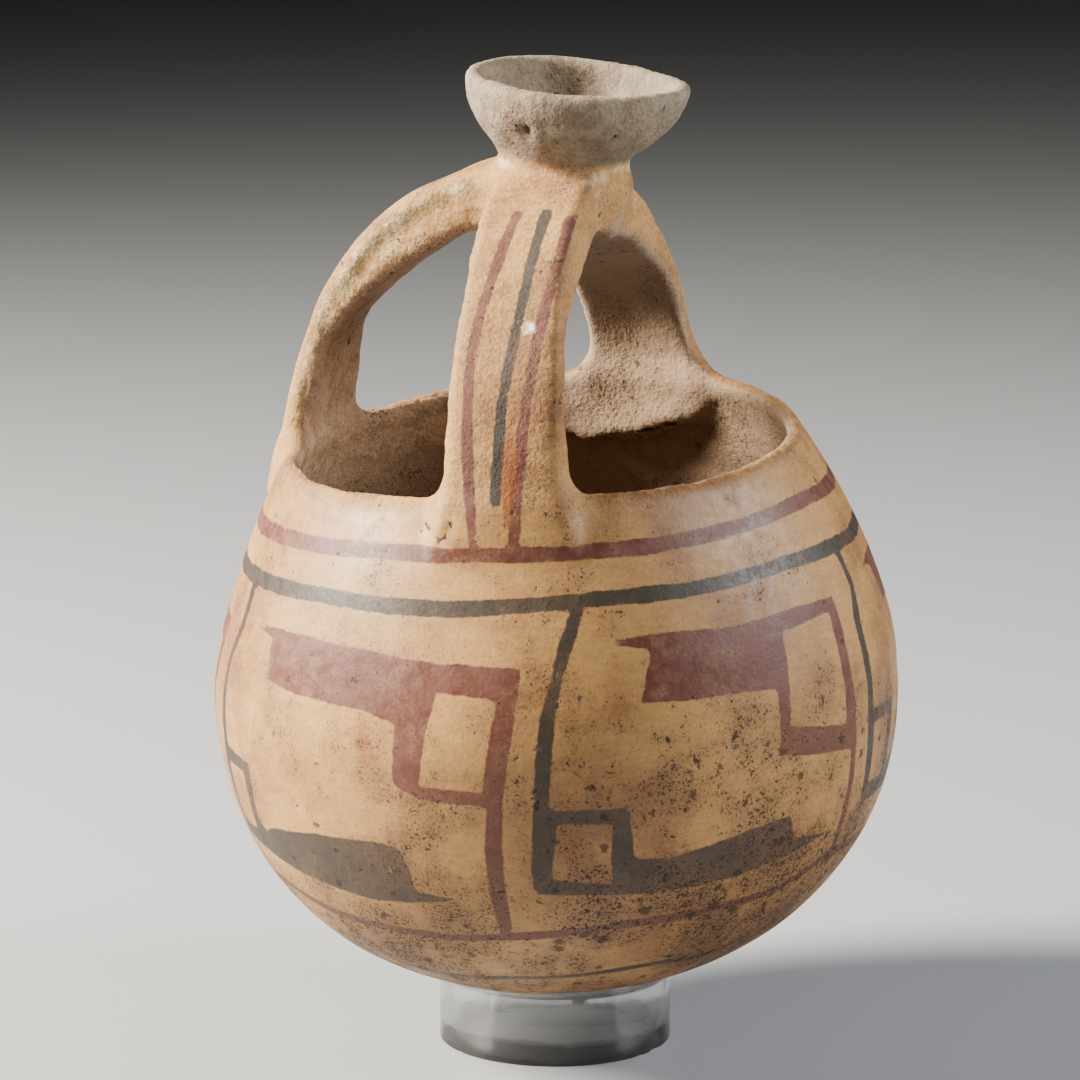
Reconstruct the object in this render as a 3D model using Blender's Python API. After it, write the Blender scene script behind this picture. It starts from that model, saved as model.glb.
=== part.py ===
"""Hand-built pottery jar with three strap handles that meet under a small cup, on a clear ring stand.

The jar is one piece of fired clay: a hollow round body, three straps that rise from its mouth, the knot of
clay where they join, and a cup on top. It has a round base, so it leans a little in a short clear tube.
Each form is a field of distances to its surface, so that the joins can be rubbed smooth as a potter does.
Metres, +Z up, origin at the centre of the ring's underside, with the jar's front towards -Y.
"""

import math

import bmesh
import bpy
import numpy as np
from mathutils import Matrix, Vector
from mathutils.geometry import interpolate_bezier

MM = 0.001

# Body, measured along the jar's own axis from the outside of its round base
BODY_RADIUS = 73.2 * MM
BELLY_HEIGHT = 67.0 * MM
MOUTH_RADIUS = 54.4 * MM
RIM_HEIGHT = 118.6 * MM
SHOULDER_CURVE = 1.6
BASE_FULLNESS = 2.3
MOUTH_SHIFT = 0.8 * MM
WALL = 4.8 * MM
LIP_WALL = 3.7 * MM
FLOOR = 6.0 * MM
RIM_DIP = 2.6 * MM
RIM_DIP_AZIMUTH = 322.0
RIM_LIFT = 2.6 * MM
RIM_LIFT_AZIMUTH = 68.0
SIDE_FLAT = 1.3 * MM
SIDE_FLAT_AZIMUTH = 186.0
SIDE_FLAT_HEIGHT = 98.0 * MM
SIDE_FLAT_REACH = 25.0 * MM

# Straps: azimuth of each foot, counted from +X, and its width there
STRAPS = {"front": (262.0, 25.0 * MM), "left": (155.0, 27.0 * MM), "right": (65.0, 29.0 * MM)}
STRAP_WIDTH = 23.6 * MM
STRAP_TOP_WIDTH = 21.5 * MM
STRAP_THICKNESS = 5.8 * MM
STRAP_TOP_THICKNESS = 12.5 * MM
STRAP_EDGE = 2.4 * MM
STRAP_STAND_OUT = 3.4 * MM
FOOT_DEPTH = 18.0 * MM
FOOT_SPREAD = 4.5 * MM
# How each strap's outer face bends: how far it ends over the crown's top, and the two handles of its arch
# as shares of its run and rise
STRAP_ARCH = {
    "front": (-1.0 * MM, (0.87, 0.48), (0.62, 1.0)),
    "left": (1.0 * MM, (0.88, 0.52), (0.68, 0.98)),
    "right": (-5.5 * MM, (0.88, 0.48), (0.48, 1.0)),
}

# Clay smeared down the inside of the wall under the right strap, ending in a ledge
TONGUE_DEPTH = 11.0 * MM
TONGUE_THICKNESS = 3.0 * MM
TONGUE_WIDTH = 21.0 * MM
TONGUE_TURN = 5.0

# Crown: the knot of clay where the straps join
CROWN_OFFSET = (9.9 * MM, 1.5 * MM)
CROWN_HEIGHT = 52.0 * MM
CROWN_RADIUS = 13.0 * MM
CROWN_THICKNESS = 12.0 * MM

# Cup, measured along its own axis from the waist where it sits on the crown
CUP_WAIST_SINK = 0.4 * MM
CUP_HEIGHT = 17.6 * MM
CUP_WAIST_RADIUS = 13.2 * MM
CUP_BELLY_RADIUS = 22.6 * MM
CUP_RIM_RADIUS = 22.6 * MM
CUP_WALL = 3.8 * MM
CUP_DEPTH = 13.0 * MM
CUP_SINK = 5.0 * MM
CUP_OFFSET = 1.2 * MM
CUP_LIP = 1.6 * MM
CUP_LEAN_RIGHT = 9.0
CUP_LEAN_NEAR = 3.0

# How far the joins are rubbed into each other
FOOT_BLEND = 6.0 * MM
TONGUE_BLEND = 2.5 * MM
CROWN_BLEND = 6.0 * MM
CUP_BLEND = 3.5 * MM

# Clear ring stand, and how the jar leans in it
RING_RADIUS = 25.0 * MM
RING_WALL = 3.0 * MM
RING_HEIGHT = 15.0 * MM
RING_EDGE = 0.4 * MM
SEAT_GAP = 0.3 * MM
JAR_LEAN_LEFT = 4.5
JAR_LEAN_NEAR = 4.0

# How finely the clay's surface is made
CLAY_GRAIN = BODY_RADIUS / 58
TABLE_STEP = CLAY_GRAIN / 3
TURNING_ROUNDS = 6
KEPT_FACES = 0.037


def eased(share):
    share = np.clip(share, 0.0, 1.0)
    return share * share * (3 - 2 * share)


def body_radius_at(height):
    """Outside radius of the body: a full round below the belly, an easing curve above it."""
    if height < BELLY_HEIGHT:
        below = min(1.0, (BELLY_HEIGHT - height) / BELLY_HEIGHT)
        return BODY_RADIUS * (1 - below**BASE_FULLNESS) ** (1 / BASE_FULLNESS)
    above = (height - BELLY_HEIGHT) / (RIM_HEIGHT - BELLY_HEIGHT)
    return BODY_RADIUS - (BODY_RADIUS - MOUTH_RADIUS) * above**SHOULDER_CURVE


def outward_at(height):
    """Unit normal (radial, up) of the outside, above the belly."""
    step = 0.1 * MM
    slope = (body_radius_at(height + step) - body_radius_at(height - step)) / (2 * step)
    length = math.hypot(1, slope)
    return 1 / length, -slope / length


def shoulder_share(height):
    """0 at the belly, rising to 1 at the rim."""
    return np.clip((height - BELLY_HEIGHT) / (RIM_HEIGHT - BELLY_HEIGHT), 0.0, 1.2) ** 2


def rim_wander(azimuth):
    """How much higher or lower the uneven rim runs."""
    dip = RIM_DIP * np.clip(np.cos(azimuth - math.radians(RIM_DIP_AZIMUTH)), 0, 1) ** 2
    lift = RIM_LIFT * np.clip(np.cos(azimuth - math.radians(RIM_LIFT_AZIMUTH)), 0, 1) ** 2
    return lift - dip


def body_outline():
    """(radius, height) from the base's outside, up to the rim, over the lip and down the inside."""
    steps = 26
    outer = [(0.0, 0.0)]
    inner = [(0.0, FLOOR)]
    for i in range(1, steps):
        turn = math.pi / 2 * i / steps
        drop = math.cos(turn) ** (2 / BASE_FULLNESS)
        swell = math.sin(turn) ** (2 / BASE_FULLNESS)
        outer.append((BODY_RADIUS * swell, BELLY_HEIGHT * (1 - drop)))
        inner.append(((BODY_RADIUS - WALL) * swell, BELLY_HEIGHT - (BELLY_HEIGHT - FLOOR) * drop))
    lip = LIP_WALL / 2
    top = RIM_HEIGHT - lip
    for i in range(steps + 1):
        height = BELLY_HEIGHT + (top - BELLY_HEIGHT) * i / steps
        radial, up = outward_at(height)
        radius = body_radius_at(height)
        outer.append((radius, height))
        wall = WALL + (LIP_WALL - WALL) * (i / steps) ** 3
        inner.append((radius - wall * radial, height - wall * up * (i / steps)))
    radial, up = outward_at(top)
    centre = (body_radius_at(top) - lip * radial, top - lip * up)
    over = []
    for i in range(1, 8):
        turn = math.pi * i / 8
        over.append(
            (
                centre[0] + lip * (radial * math.cos(turn) - up * math.sin(turn)),
                centre[1] + lip * (up * math.cos(turn) + radial * math.sin(turn)),
            )
        )
    return outer + over + inner[::-1]


def cup_outline():
    """(radius, height) from under the waist, up the outside, over the rim and down into the bowl."""
    waist = Vector((CUP_WAIST_RADIUS, 0, 0))
    leave = Vector((CUP_WAIST_RADIUS * 1.2, CUP_HEIGHT * 0.16, 0))
    swell = Vector((CUP_BELLY_RADIUS, CUP_HEIGHT * 0.42, 0))
    rim = Vector((CUP_RIM_RADIUS, CUP_HEIGHT - CUP_WALL / 2, 0))
    steps = 16
    outer = [(0.0, -CUP_SINK), (CUP_WAIST_RADIUS * 0.8, -CUP_SINK)]
    for point in interpolate_bezier(waist, leave, swell, rim, steps):
        outer.append((point.x, point.y))
    over = []
    for i in range(1, 6):
        turn = math.pi * i / 6
        over.append(
            (
                CUP_RIM_RADIUS - CUP_WALL / 2 * (1 - math.cos(turn)),
                CUP_HEIGHT - CUP_WALL / 2 * (1 - math.sin(turn)),
            )
        )
    inner = []
    bowl_radius = CUP_RIM_RADIUS - CUP_WALL
    for i in range(steps + 1):
        turn = math.pi / 2 * i / steps
        inner.append(
            (
                bowl_radius * max(0.0, math.cos(turn)) ** 0.8,
                CUP_HEIGHT - CUP_WALL / 2 - (CUP_DEPTH - CUP_WALL / 2) * math.sin(turn),
            )
        )
    return outer + over + inner


def crown_centre():
    return Vector((CROWN_OFFSET[0], CROWN_OFFSET[1], RIM_HEIGHT + CROWN_HEIGHT))


def on_body(azimuth, height, out):
    """A point this far out from the outside of the wall."""
    radial, up = outward_at(height)
    radius = body_radius_at(height) + out * radial
    share = float(shoulder_share(height))
    return Vector(
        (
            radius * math.cos(azimuth) + MOUTH_SHIFT * share,
            radius * math.sin(azimuth),
            height + out * up + float(rim_wander(azimuth)) * share,
        )
    )


def strap_path(side, points=30):
    """Outer face of a strap: out of the wall at its foot, then a bent arch up to the crown."""
    azimuth = math.radians(STRAPS[side][0])
    over, rise_handle, crown_handle = STRAP_ARCH[side]
    outer = []
    steps = 8
    for i in range(steps):
        share = i / steps
        height = RIM_HEIGHT - FOOT_DEPTH * (1 - share)
        buried = WALL * 0.3 * (1 - share)
        outer.append(on_body(azimuth, height, STRAP_STAND_OUT * float(eased(share)) - buried))
    foot = on_body(azimuth, RIM_HEIGHT, STRAP_STAND_OUT)
    top = crown_centre() + Vector((0, 0, CROWN_THICKNESS / 2 + over))
    reach = Vector((foot.x - top.x, foot.y - top.y, 0))
    climb = Vector((0, 0, top.z - foot.z))
    corner = Vector((top.x, top.y, foot.z))
    handles = [corner + reach * share[0] + climb * share[1] for share in (rise_handle, crown_handle)]
    return outer + interpolate_bezier(foot, handles[0], handles[1], top, points)


def nearest_on(line, across, up):
    """Distance from each point to a flat line, and how far along the line its nearest point is."""
    nearest = np.full(across.shape, np.inf)
    along = np.zeros(across.shape)
    run = 0.0
    for (across0, up0), (across1, up1) in zip(line, line[1:]):
        step_across, step_up = across1 - across0, up1 - up0
        length = max(math.hypot(step_across, step_up), 1e-9)
        share = ((across - across0) * step_across + (up - up0) * step_up) / length**2
        share = np.clip(share, 0.0, 1.0)
        away = np.hypot(across - across0 - share * step_across, up - up0 - share * step_up)
        nearer = away < nearest
        nearest[nearer] = away[nearer]
        along[nearer] = (run + share * length)[nearer]
        run += length
    return nearest, along


def is_within(line, across, up):
    """Whether each point lies inside the closed outline."""
    crossings = np.zeros(across.shape, dtype=int)
    for (across0, up0), (across1, up1) in zip(line, line[1:] + line[:1]):
        if up0 == up1:
            continue
        spans = (up0 > up) != (up1 > up)
        meets = across0 + (up - up0) / (up1 - up0) * (across1 - across0)
        crossings += spans & (across < meets)
    return crossings % 2 == 1


def flat_grid(line, margin):
    """Points of a table that covers a flat line and a margin round it."""
    low = np.min(line, axis=0) - margin
    high = np.max(line, axis=0) + margin
    sides = [np.arange(a, b + TABLE_STEP, TABLE_STEP) for a, b in zip(low, high)]
    return low, np.meshgrid(*sides, indexing="ij")


def looked_up(table, low, across, up):
    """Values of a table between its points."""
    a = np.clip((across - low[0]) / TABLE_STEP, 0, table.shape[0] - 1.001)
    b = np.clip((up - low[1]) / TABLE_STEP, 0, table.shape[1] - 1.001)
    i, j = a.astype(int), b.astype(int)
    a, b = a - i, b - j
    near = table[i, j] * (1 - b) + table[i, j + 1] * b
    far = table[i + 1, j] * (1 - b) + table[i + 1, j + 1] * b
    return near * (1 - a) + far * a


def turned(outline, radius, height):
    """Distance to a solid turned from a half outline that starts and ends on the axis."""
    low, (across, up) = flat_grid(outline, 12 * MM)
    away, _ = nearest_on(outline, across, up)
    away[is_within(outline, np.abs(across), up)] *= -1
    return looked_up(away, low, radius, height)


def body_field(x, y, z):
    share = shoulder_share(z)
    shifted = x - MOUTH_SHIFT * share
    azimuth = np.arctan2(y, shifted)
    facing = np.clip(np.cos(azimuth - math.radians(SIDE_FLAT_AZIMUTH)), 0, 1) ** 2
    flat = SIDE_FLAT * facing * np.exp(-(((z - SIDE_FLAT_HEIGHT) / SIDE_FLAT_REACH) ** 2))
    return turned(body_outline(), np.hypot(shifted, y) + flat, z - rim_wander(azimuth) * share)


def bar_field(middle, widths, thicknesses, azimuth, x, y, z):
    """Distance to a flat bar along a path in one upright plane, lying along the wall at its foot."""
    end = middle[-1]
    way = Vector((middle[0].x - end.x, middle[0].y - end.y)).normalized()
    out = (x - end.x) * way.x + (y - end.y) * way.y
    side = (y - end.y) * way.x - (x - end.x) * way.y
    line = [((p.x - end.x) * way.x + (p.y - end.y) * way.y, p.z) for p in middle]
    low, (across, up) = flat_grid(line, 14 * MM)
    away, along = nearest_on(line, across, up)
    risen = eased((z - RIM_HEIGHT) / (0.6 * CROWN_HEIGHT))
    turn = math.atan2(way.y, way.x) - azimuth
    bent = out + side**2 * (1 - 0.8 * risen) * 0.5 / MOUTH_RADIUS - side * (1 - risen) * math.tan(turn)
    away, along = looked_up(away, low, bent, z), looked_up(along, low, bent, z)
    runs = np.cumsum([0.0] + [(b - a).length for a, b in zip(middle, middle[1:])])
    half_width = np.interp(along, runs, widths) / 2
    half_thick = np.interp(along, runs, thicknesses) / 2
    edge = np.minimum(STRAP_EDGE, half_thick * 0.9)
    beside = np.abs(side) - half_width + edge
    above = away - half_thick + edge
    return np.hypot(np.maximum(beside, 0), np.maximum(above, 0)) + np.minimum(np.maximum(beside, above), 0) - edge


def strap_field(side, x, y, z):
    """A strap, spread where it stands on the rim and thicker where it meets the crown."""
    outer = strap_path(side)
    foot_width = STRAPS[side][1]
    towards = Vector((outer[-1].x - outer[0].x, outer[-1].y - outer[0].y, 0)).normalized()
    middle, widths, thicknesses = [], [], []
    for i, point in enumerate(outer):
        risen = (point.z - RIM_HEIGHT) / CROWN_HEIGHT
        foot = 1 - eased((risen + 0.1) / 0.4)
        spread = FOOT_SPREAD * (1 - eased((risen + 0.3) / 0.4))
        width = STRAP_WIDTH + (STRAP_TOP_WIDTH - STRAP_WIDTH) * eased((risen - 0.3) / 0.5)
        widths.append(width + (foot_width - STRAP_WIDTH) * foot + spread)
        sunk = eased(1.4 * (RIM_HEIGHT - point.z) / FOOT_DEPTH)
        thick = STRAP_THICKNESS + (STRAP_TOP_THICKNESS - STRAP_THICKNESS) * eased((risen - 0.4) / 0.6)
        thicknesses.append(thick + (WALL * 0.5 - thick) * sunk)
        run = outer[min(i + 1, len(outer) - 1)] - outer[max(i - 1, 0)]
        inwards = towards * run.z - Vector((0, 0, 1)) * run.dot(towards)
        middle.append(point + inwards.normalized() * thicknesses[-1] / 2)
    return bar_field(middle, widths, thicknesses, math.radians(STRAPS[side][0]), x, y, z)


def tongue_field(x, y, z):
    azimuth = math.radians(STRAPS["right"][0] + TONGUE_TURN)
    steps = 12
    middle = []
    for i in range(steps + 1):
        height = RIM_HEIGHT - TONGUE_DEPTH * (1 - i / steps)
        middle.append(on_body(azimuth, height, -WALL - TONGUE_THICKNESS * 0.1))
    widths = [TONGUE_WIDTH] * (steps + 1)
    return bar_field(middle, widths, [TONGUE_THICKNESS] * (steps + 1), azimuth, x, y, z)


def crown_field(x, y, z):
    centre = crown_centre()
    sides = (CROWN_RADIUS, CROWN_RADIUS, CROWN_THICKNESS / 2)
    parts = [(p - c) / s for p, c, s in zip((x, y, z), centre, sides)]
    size = np.sqrt(sum(p**2 for p in parts))
    steepness = np.sqrt(sum((p / s) ** 2 for p, s in zip(parts, sides)))
    return size * (size - 1) / np.maximum(steepness, 1e-6)


def cup_field(x, y, z):
    """The cup, leaning and drawn out to a slight lip on its right."""
    lean = Matrix.Rotation(math.radians(CUP_LEAN_NEAR), 3, "X")
    lean = np.array(lean @ Matrix.Rotation(math.radians(CUP_LEAN_RIGHT), 3, "Y"))
    waist = crown_centre() + Vector((CUP_OFFSET, 0, CROWN_THICKNESS / 2 - CUP_WAIST_SINK))
    away = (x - waist.x, y - waist.y, z - waist.z)
    across, deep, height = [sum(lean[row, col] * away[row] for row in range(3)) for col in range(3)]
    share = eased(height / (0.7 * CUP_HEIGHT))
    radius = np.hypot(across, deep)
    pull = CUP_LIP / CUP_RIM_RADIUS * share * np.clip(across / np.maximum(radius, 1e-6), 0, 1) ** 6
    return turned(cup_outline(), radius / (1 + pull), height)


def merged(first, second, blend):
    """The union of two fields, with the join between them filled to a smooth hollow."""
    mix = np.clip(0.5 + 0.5 * (second - first) / blend, 0.0, 1.0)
    return second + (first - second) * mix - blend * mix * (1 - mix)


def settled(field):
    """The field with a corner turned over wherever its surface would touch itself."""
    for _ in range(TURNING_ROUNDS):
        for axis in range(3):
            flat = np.moveaxis(field, axis, 0)
            inside = flat < 0
            a, b, c, d = inside[:, :-1, :-1], inside[:, 1:, :-1], inside[:, 1:, 1:], inside[:, :-1, 1:]
            for i, j, k in np.argwhere((a == c) & (b == d) & (a != b)):
                square = [(i, j, k), (i, j + 1, k), (i, j + 1, k + 1), (i, j, k + 1)]
                flat[min(square, key=lambda place: abs(flat[place]))] *= -1
    return field


def skin(field, corner, step):
    """Points and four-sided faces of the surface on which a field on a grid is zero."""
    inside = field < 0
    count = np.zeros([n - 1 for n in field.shape], dtype=np.int8)
    for i in (0, 1):
        for j in (0, 1):
            for k in (0, 1):
                count += inside[i : i + count.shape[0], j : j + count.shape[1], k : k + count.shape[2]]
    cells = np.argwhere((count > 0) & (count < 8))
    number = np.full(count.shape, -1)
    number[tuple(cells.T)] = np.arange(len(cells))
    total = np.zeros((len(cells), 3))
    hits = np.zeros(len(cells))
    faces = []
    for axis in range(3):
        second, third = (axis + 1) % 3, (axis + 2) % 3
        along = np.eye(3, dtype=int)[axis]
        for a in (0, 1):
            for b in (0, 1):
                start = np.zeros(3, dtype=int)
                start[second], start[third] = a, b
                here = field[tuple((cells + start).T)]
                there = field[tuple((cells + start + along).T)]
                crosses = (here < 0) != (there < 0)
                share = here[crosses] / (here[crosses] - there[crosses])
                total[crosses] += start + share[:, None] * along
                hits[crosses] += 1
        low = np.moveaxis(inside, axis, 0)[:-1]
        high = np.moveaxis(inside, axis, 0)[1:]
        edges = np.argwhere(np.moveaxis(low != high, 0, axis))
        around = []
        for a, b in ((-1, -1), (0, -1), (0, 0), (-1, 0)):
            shift = np.zeros(3, dtype=int)
            shift[second], shift[third] = a, b
            around.append(number[tuple((edges + shift).T)])
        quads = np.stack(around, axis=1)
        outwards = inside[tuple(edges.T)]
        faces.append(np.where(outwards[:, None], quads, quads[:, ::-1]))
    return corner + step * (cells + total / hits[:, None]), np.concatenate(faces)


def clay_mesh():
    """The whole jar, upright, with its base's outside at the origin."""
    margin = 4 * CLAY_GRAIN
    top = RIM_HEIGHT + CROWN_HEIGHT + CROWN_THICKNESS / 2 + CUP_HEIGHT + CUP_RIM_RADIUS * 0.3
    low = np.array([-BODY_RADIUS - margin, -BODY_RADIUS - margin, -margin])
    high = np.array([BODY_RADIUS + margin, BODY_RADIUS + margin, top + margin])
    sides = [np.arange(a, b, CLAY_GRAIN) for a, b in zip(low, high)]
    x, y, z = np.meshgrid(*sides, indexing="ij")
    field = body_field(x, y, z)
    first = int((RIM_HEIGHT - FOOT_DEPTH - TONGUE_DEPTH + margin) / CLAY_GRAIN)
    upper = (slice(None), slice(None), slice(first, None))
    above = (x[upper], y[upper], z[upper])
    straps = strap_field("front", *above)
    for side in ("left", "right"):
        straps = merged(straps, strap_field(side, *above), CROWN_BLEND)
    straps = merged(straps, crown_field(*above), CROWN_BLEND)
    walls = merged(field[upper], tongue_field(*above), TONGUE_BLEND)
    fading = FOOT_BLEND * np.clip((above[2] - RIM_HEIGHT + FOOT_DEPTH) / FOOT_DEPTH, 0.05, 1)
    field[upper] = merged(merged(walls, straps, fading), cup_field(*above), CUP_BLEND)
    points, faces = skin(settled(field), low, CLAY_GRAIN)
    mesh = bpy.data.meshes.new("jar")
    mesh.from_pydata(points.tolist(), [], faces.tolist())
    return mesh


def jar_lean():
    near = Matrix.Rotation(math.radians(JAR_LEAN_NEAR), 4, "X")
    return near @ Matrix.Rotation(-math.radians(JAR_LEAN_LEFT), 4, "Y")


def belly_centre_height():
    """How high the belly's centre stands when the leaning base rests on the ring."""
    lean = jar_lean()
    lowest = 0.0
    for i in range(1, 300):
        drop = -BELLY_HEIGHT * (1 - (i / 300) ** 2 / 2)
        radius = body_radius_at(BELLY_HEIGHT + drop)
        for k in range(72):
            azimuth = 2 * math.pi * k / 72
            point = lean @ Vector((radius * math.cos(azimuth), radius * math.sin(azimuth), drop))
            from_axis = math.hypot(point.x, point.y)
            if RING_RADIUS - RING_WALL <= from_axis <= RING_RADIUS:
                lowest = min(lowest, point.z)
    return RING_HEIGHT + SEAT_GAP - lowest


def material(name, colour, roughness, transmission=0.0):
    made = bpy.data.materials.new(name)
    made.use_nodes = True
    shader = made.node_tree.nodes["Principled BSDF"]
    shader.inputs["Base Color"].default_value = colour
    shader.inputs["Roughness"].default_value = roughness
    shader.inputs["Metallic"].default_value = 0.0
    shader.inputs["Transmission Weight"].default_value = transmission
    return made


def placed(name, mesh, matrix=Matrix()):
    made = bpy.data.objects.new(name, mesh)
    bpy.context.scene.collection.objects.link(made)
    made.matrix_world = matrix
    return made


def jar():
    """The jar leaning in its ring, with fewer faces where it is flat."""
    stand = Matrix.Translation((0, 0, belly_centre_height())) @ jar_lean()
    made = placed("jar", clay_mesh(), stand @ Matrix.Translation((0, 0, -BELLY_HEIGHT)))
    facet = made.modifiers.new("facet", "DECIMATE")
    facet.ratio = KEPT_FACES
    facet.use_collapse_triangulate = True
    made.data.materials.append(material("fired_clay", (0.55, 0.36, 0.2, 1), 0.55))
    return made


def ring_stand():
    """A short length of clear tube with its edges just broken."""
    inner = RING_RADIUS - RING_WALL
    outline = [
        (RING_RADIUS - RING_EDGE, 0.0),
        (RING_RADIUS, RING_EDGE),
        (RING_RADIUS, RING_HEIGHT - RING_EDGE),
        (RING_RADIUS - RING_EDGE, RING_HEIGHT),
        (inner + RING_EDGE, RING_HEIGHT),
        (inner, RING_HEIGHT - RING_EDGE),
        (inner, RING_EDGE),
        (inner + RING_EDGE, 0.0),
    ]
    sides = 64
    solid = bmesh.new()
    rings = []
    for radius, height in outline:
        ring = []
        for k in range(sides):
            turn = 2 * math.pi * k / sides
            ring.append(solid.verts.new((radius * math.cos(turn), radius * math.sin(turn), height)))
        rings.append(ring)
    for low, high in zip(rings, rings[1:] + rings[:1]):
        for k in range(sides):
            n = (k + 1) % sides
            solid.faces.new((low[k], low[n], high[n], high[k]))
    mesh = bpy.data.meshes.new("ring_stand")
    solid.to_mesh(mesh)
    solid.free()
    mesh.materials.append(material("clear_acrylic", (0.95, 0.96, 0.97, 1), 0.03, 1.0))
    return placed("ring_stand", mesh)


def main():
    for old in list(bpy.data.objects):
        bpy.data.objects.remove(old)
    for made in (jar(), ring_stand()):
        made.data.shade_smooth()


main()
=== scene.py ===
"""Hand-built pottery jar with three strap handles under a small cup, standing in a clear ring.

The jar's form is a field of distances to its surface, in metres, in the jar's own upright frame: the origin
is the outside of its round base and azimuths are counted from +X. Its skin is then given the marks of the
hand that made it, and each painted line is kept on the skin as a distance, so that its edges stay crisp.
"""

import math

import bpy
import numpy as np
from bpy.props import FloatProperty, FloatVectorProperty, PointerProperty
from bpy.types import Operator, Panel, PropertyGroup
from mathutils import Matrix, Vector, noise
from mathutils.geometry import interpolate_bezier


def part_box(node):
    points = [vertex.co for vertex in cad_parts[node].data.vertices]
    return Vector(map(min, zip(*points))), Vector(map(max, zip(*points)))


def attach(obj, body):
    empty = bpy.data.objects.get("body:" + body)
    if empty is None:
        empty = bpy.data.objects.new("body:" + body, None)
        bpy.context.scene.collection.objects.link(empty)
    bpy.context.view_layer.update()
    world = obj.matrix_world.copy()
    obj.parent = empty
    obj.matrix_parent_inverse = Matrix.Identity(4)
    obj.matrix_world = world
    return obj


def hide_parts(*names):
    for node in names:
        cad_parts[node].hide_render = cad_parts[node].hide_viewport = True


bl_info = {
    "name": "Handled Pottery Jar",
    "version": (1, 0, 0),
    "blender": (4, 5, 0),
    "location": "3D View > Sidebar > Pottery Jar",
    "description": "A painted jar with strap handles and a small cup, its clear ring stand, and a studio",
    "category": "Add Mesh",
}

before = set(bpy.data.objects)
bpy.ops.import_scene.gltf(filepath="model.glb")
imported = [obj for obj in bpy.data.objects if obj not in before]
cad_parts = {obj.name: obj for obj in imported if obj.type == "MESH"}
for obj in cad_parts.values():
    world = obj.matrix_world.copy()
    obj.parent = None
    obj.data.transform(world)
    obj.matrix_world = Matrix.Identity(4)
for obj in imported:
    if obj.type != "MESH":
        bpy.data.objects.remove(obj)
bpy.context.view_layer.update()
MM = 0.001

# Body
SHOULDER_CURVE = 1.6
BASE_FULLNESS = 2.3
MOUTH_SHIFT = 0.8 * MM
LIP_WALL = 3.7 * MM
FLOOR = 6.0 * MM
RIM_DIP = 2.6 * MM
RIM_DIP_AZIMUTH = 322.0
RIM_LIFT = 2.6 * MM
RIM_LIFT_AZIMUTH = 68.0
SIDE_FLAT = 1.3 * MM
SIDE_FLAT_AZIMUTH = 186.0
SIDE_FLAT_HEIGHT = 98.0 * MM
SIDE_FLAT_REACH = 25.0 * MM

# Straps: azimuth of each foot and its width there
STRAPS = {"front": (262.0, 25.0 * MM), "left": (155.0, 27.0 * MM), "right": (65.0, 29.0 * MM)}
STRAP_TOP_WIDTH = 21.5 * MM
STRAP_TOP_THICKNESS = 12.5 * MM
STRAP_EDGE = 2.4 * MM
STRAP_STAND_OUT = 3.4 * MM
FOOT_DEPTH = 18.0 * MM
FOOT_SPREAD = 4.5 * MM
# How far each strap ends over the crown's top, and the two handles of its arch as shares of run and rise
STRAP_ARCH = {
    "front": (-1.0 * MM, (0.87, 0.48), (0.62, 1.0)),
    "left": (1.0 * MM, (0.88, 0.52), (0.68, 0.98)),
    "right": (-5.5 * MM, (0.88, 0.48), (0.48, 1.0)),
}

# Clay smeared down the inside of the wall under the right strap
LEDGE_SIDES = (2.3 * MM, 18.0 * MM, 8.5 * MM)
LEDGE_DROP = 5.5 * MM
LEDGE_TURN = 2.0
LEDGE_SLANT = -0.16

# Crown, where the straps join, and the cup on it
CROWN_OFFSET = (9.9 * MM, 1.5 * MM)
CROWN_HEIGHT = 52.0 * MM
CROWN_RADIUS = 13.0 * MM
CROWN_THICKNESS = 12.0 * MM
CUP_WAIST_SINK = 0.4 * MM
CUP_HEIGHT = 17.6 * MM
CUP_WAIST_RADIUS = 13.2 * MM
CUP_BELLY_RADIUS = 22.6 * MM
CUP_WALL = 3.8 * MM
CUP_DEPTH = 13.0 * MM
CUP_SINK = 5.0 * MM
CUP_OFFSET = 1.2 * MM
CUP_LIP = 2.3 * MM
CUP_DRAWN_IN = 0.16
CUP_LEAN_RIGHT = 9.0
CUP_LEAN_NEAR = 3.0

# How far the joins are rubbed into each other
FOOT_BLEND = 6.0 * MM
LEDGE_BLEND = 4.0 * MM
CROWN_BLEND = 6.0 * MM
CUP_BLEND = 3.5 * MM

# The ring, and how the jar leans in it
RING_WALL = 3.0 * MM
RING_EDGE = 0.4 * MM
RING_SIDES = 180
RING_LEVELS = 13
RING_SHARP = 35.0
SEAT_GAP = 0.3 * MM
JAR_LEAN_LEFT = 4.5
JAR_LEAN_NEAR = 4.0

# Chips in the ring's outer edges: azimuth, height, size and depth in mm
RING_CHIPS = [
    (331, 1.0, 3.2, 1.1),
    (336, 4.5, 2.2, 0.7),
    (318, 0.0, 2.0, 0.5),
    (342, 14.8, 1.6, 0.5),
    (214, 0.0, 1.5, 0.5),
    (282, 15.0, 1.2, 0.4),
    (262, 0.0, 1.3, 0.35),
]
CHIP_DROP = 0.6

# How the skin is made: a fine grid, finer tables, rounds of turning corners over, and rounds of evening out
SKIN_GRAIN = 1.38 * MM
TABLE_STEP = 0.42 * MM
TURNING_ROUNDS = 6
EVENING_ROUNDS = 2

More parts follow.
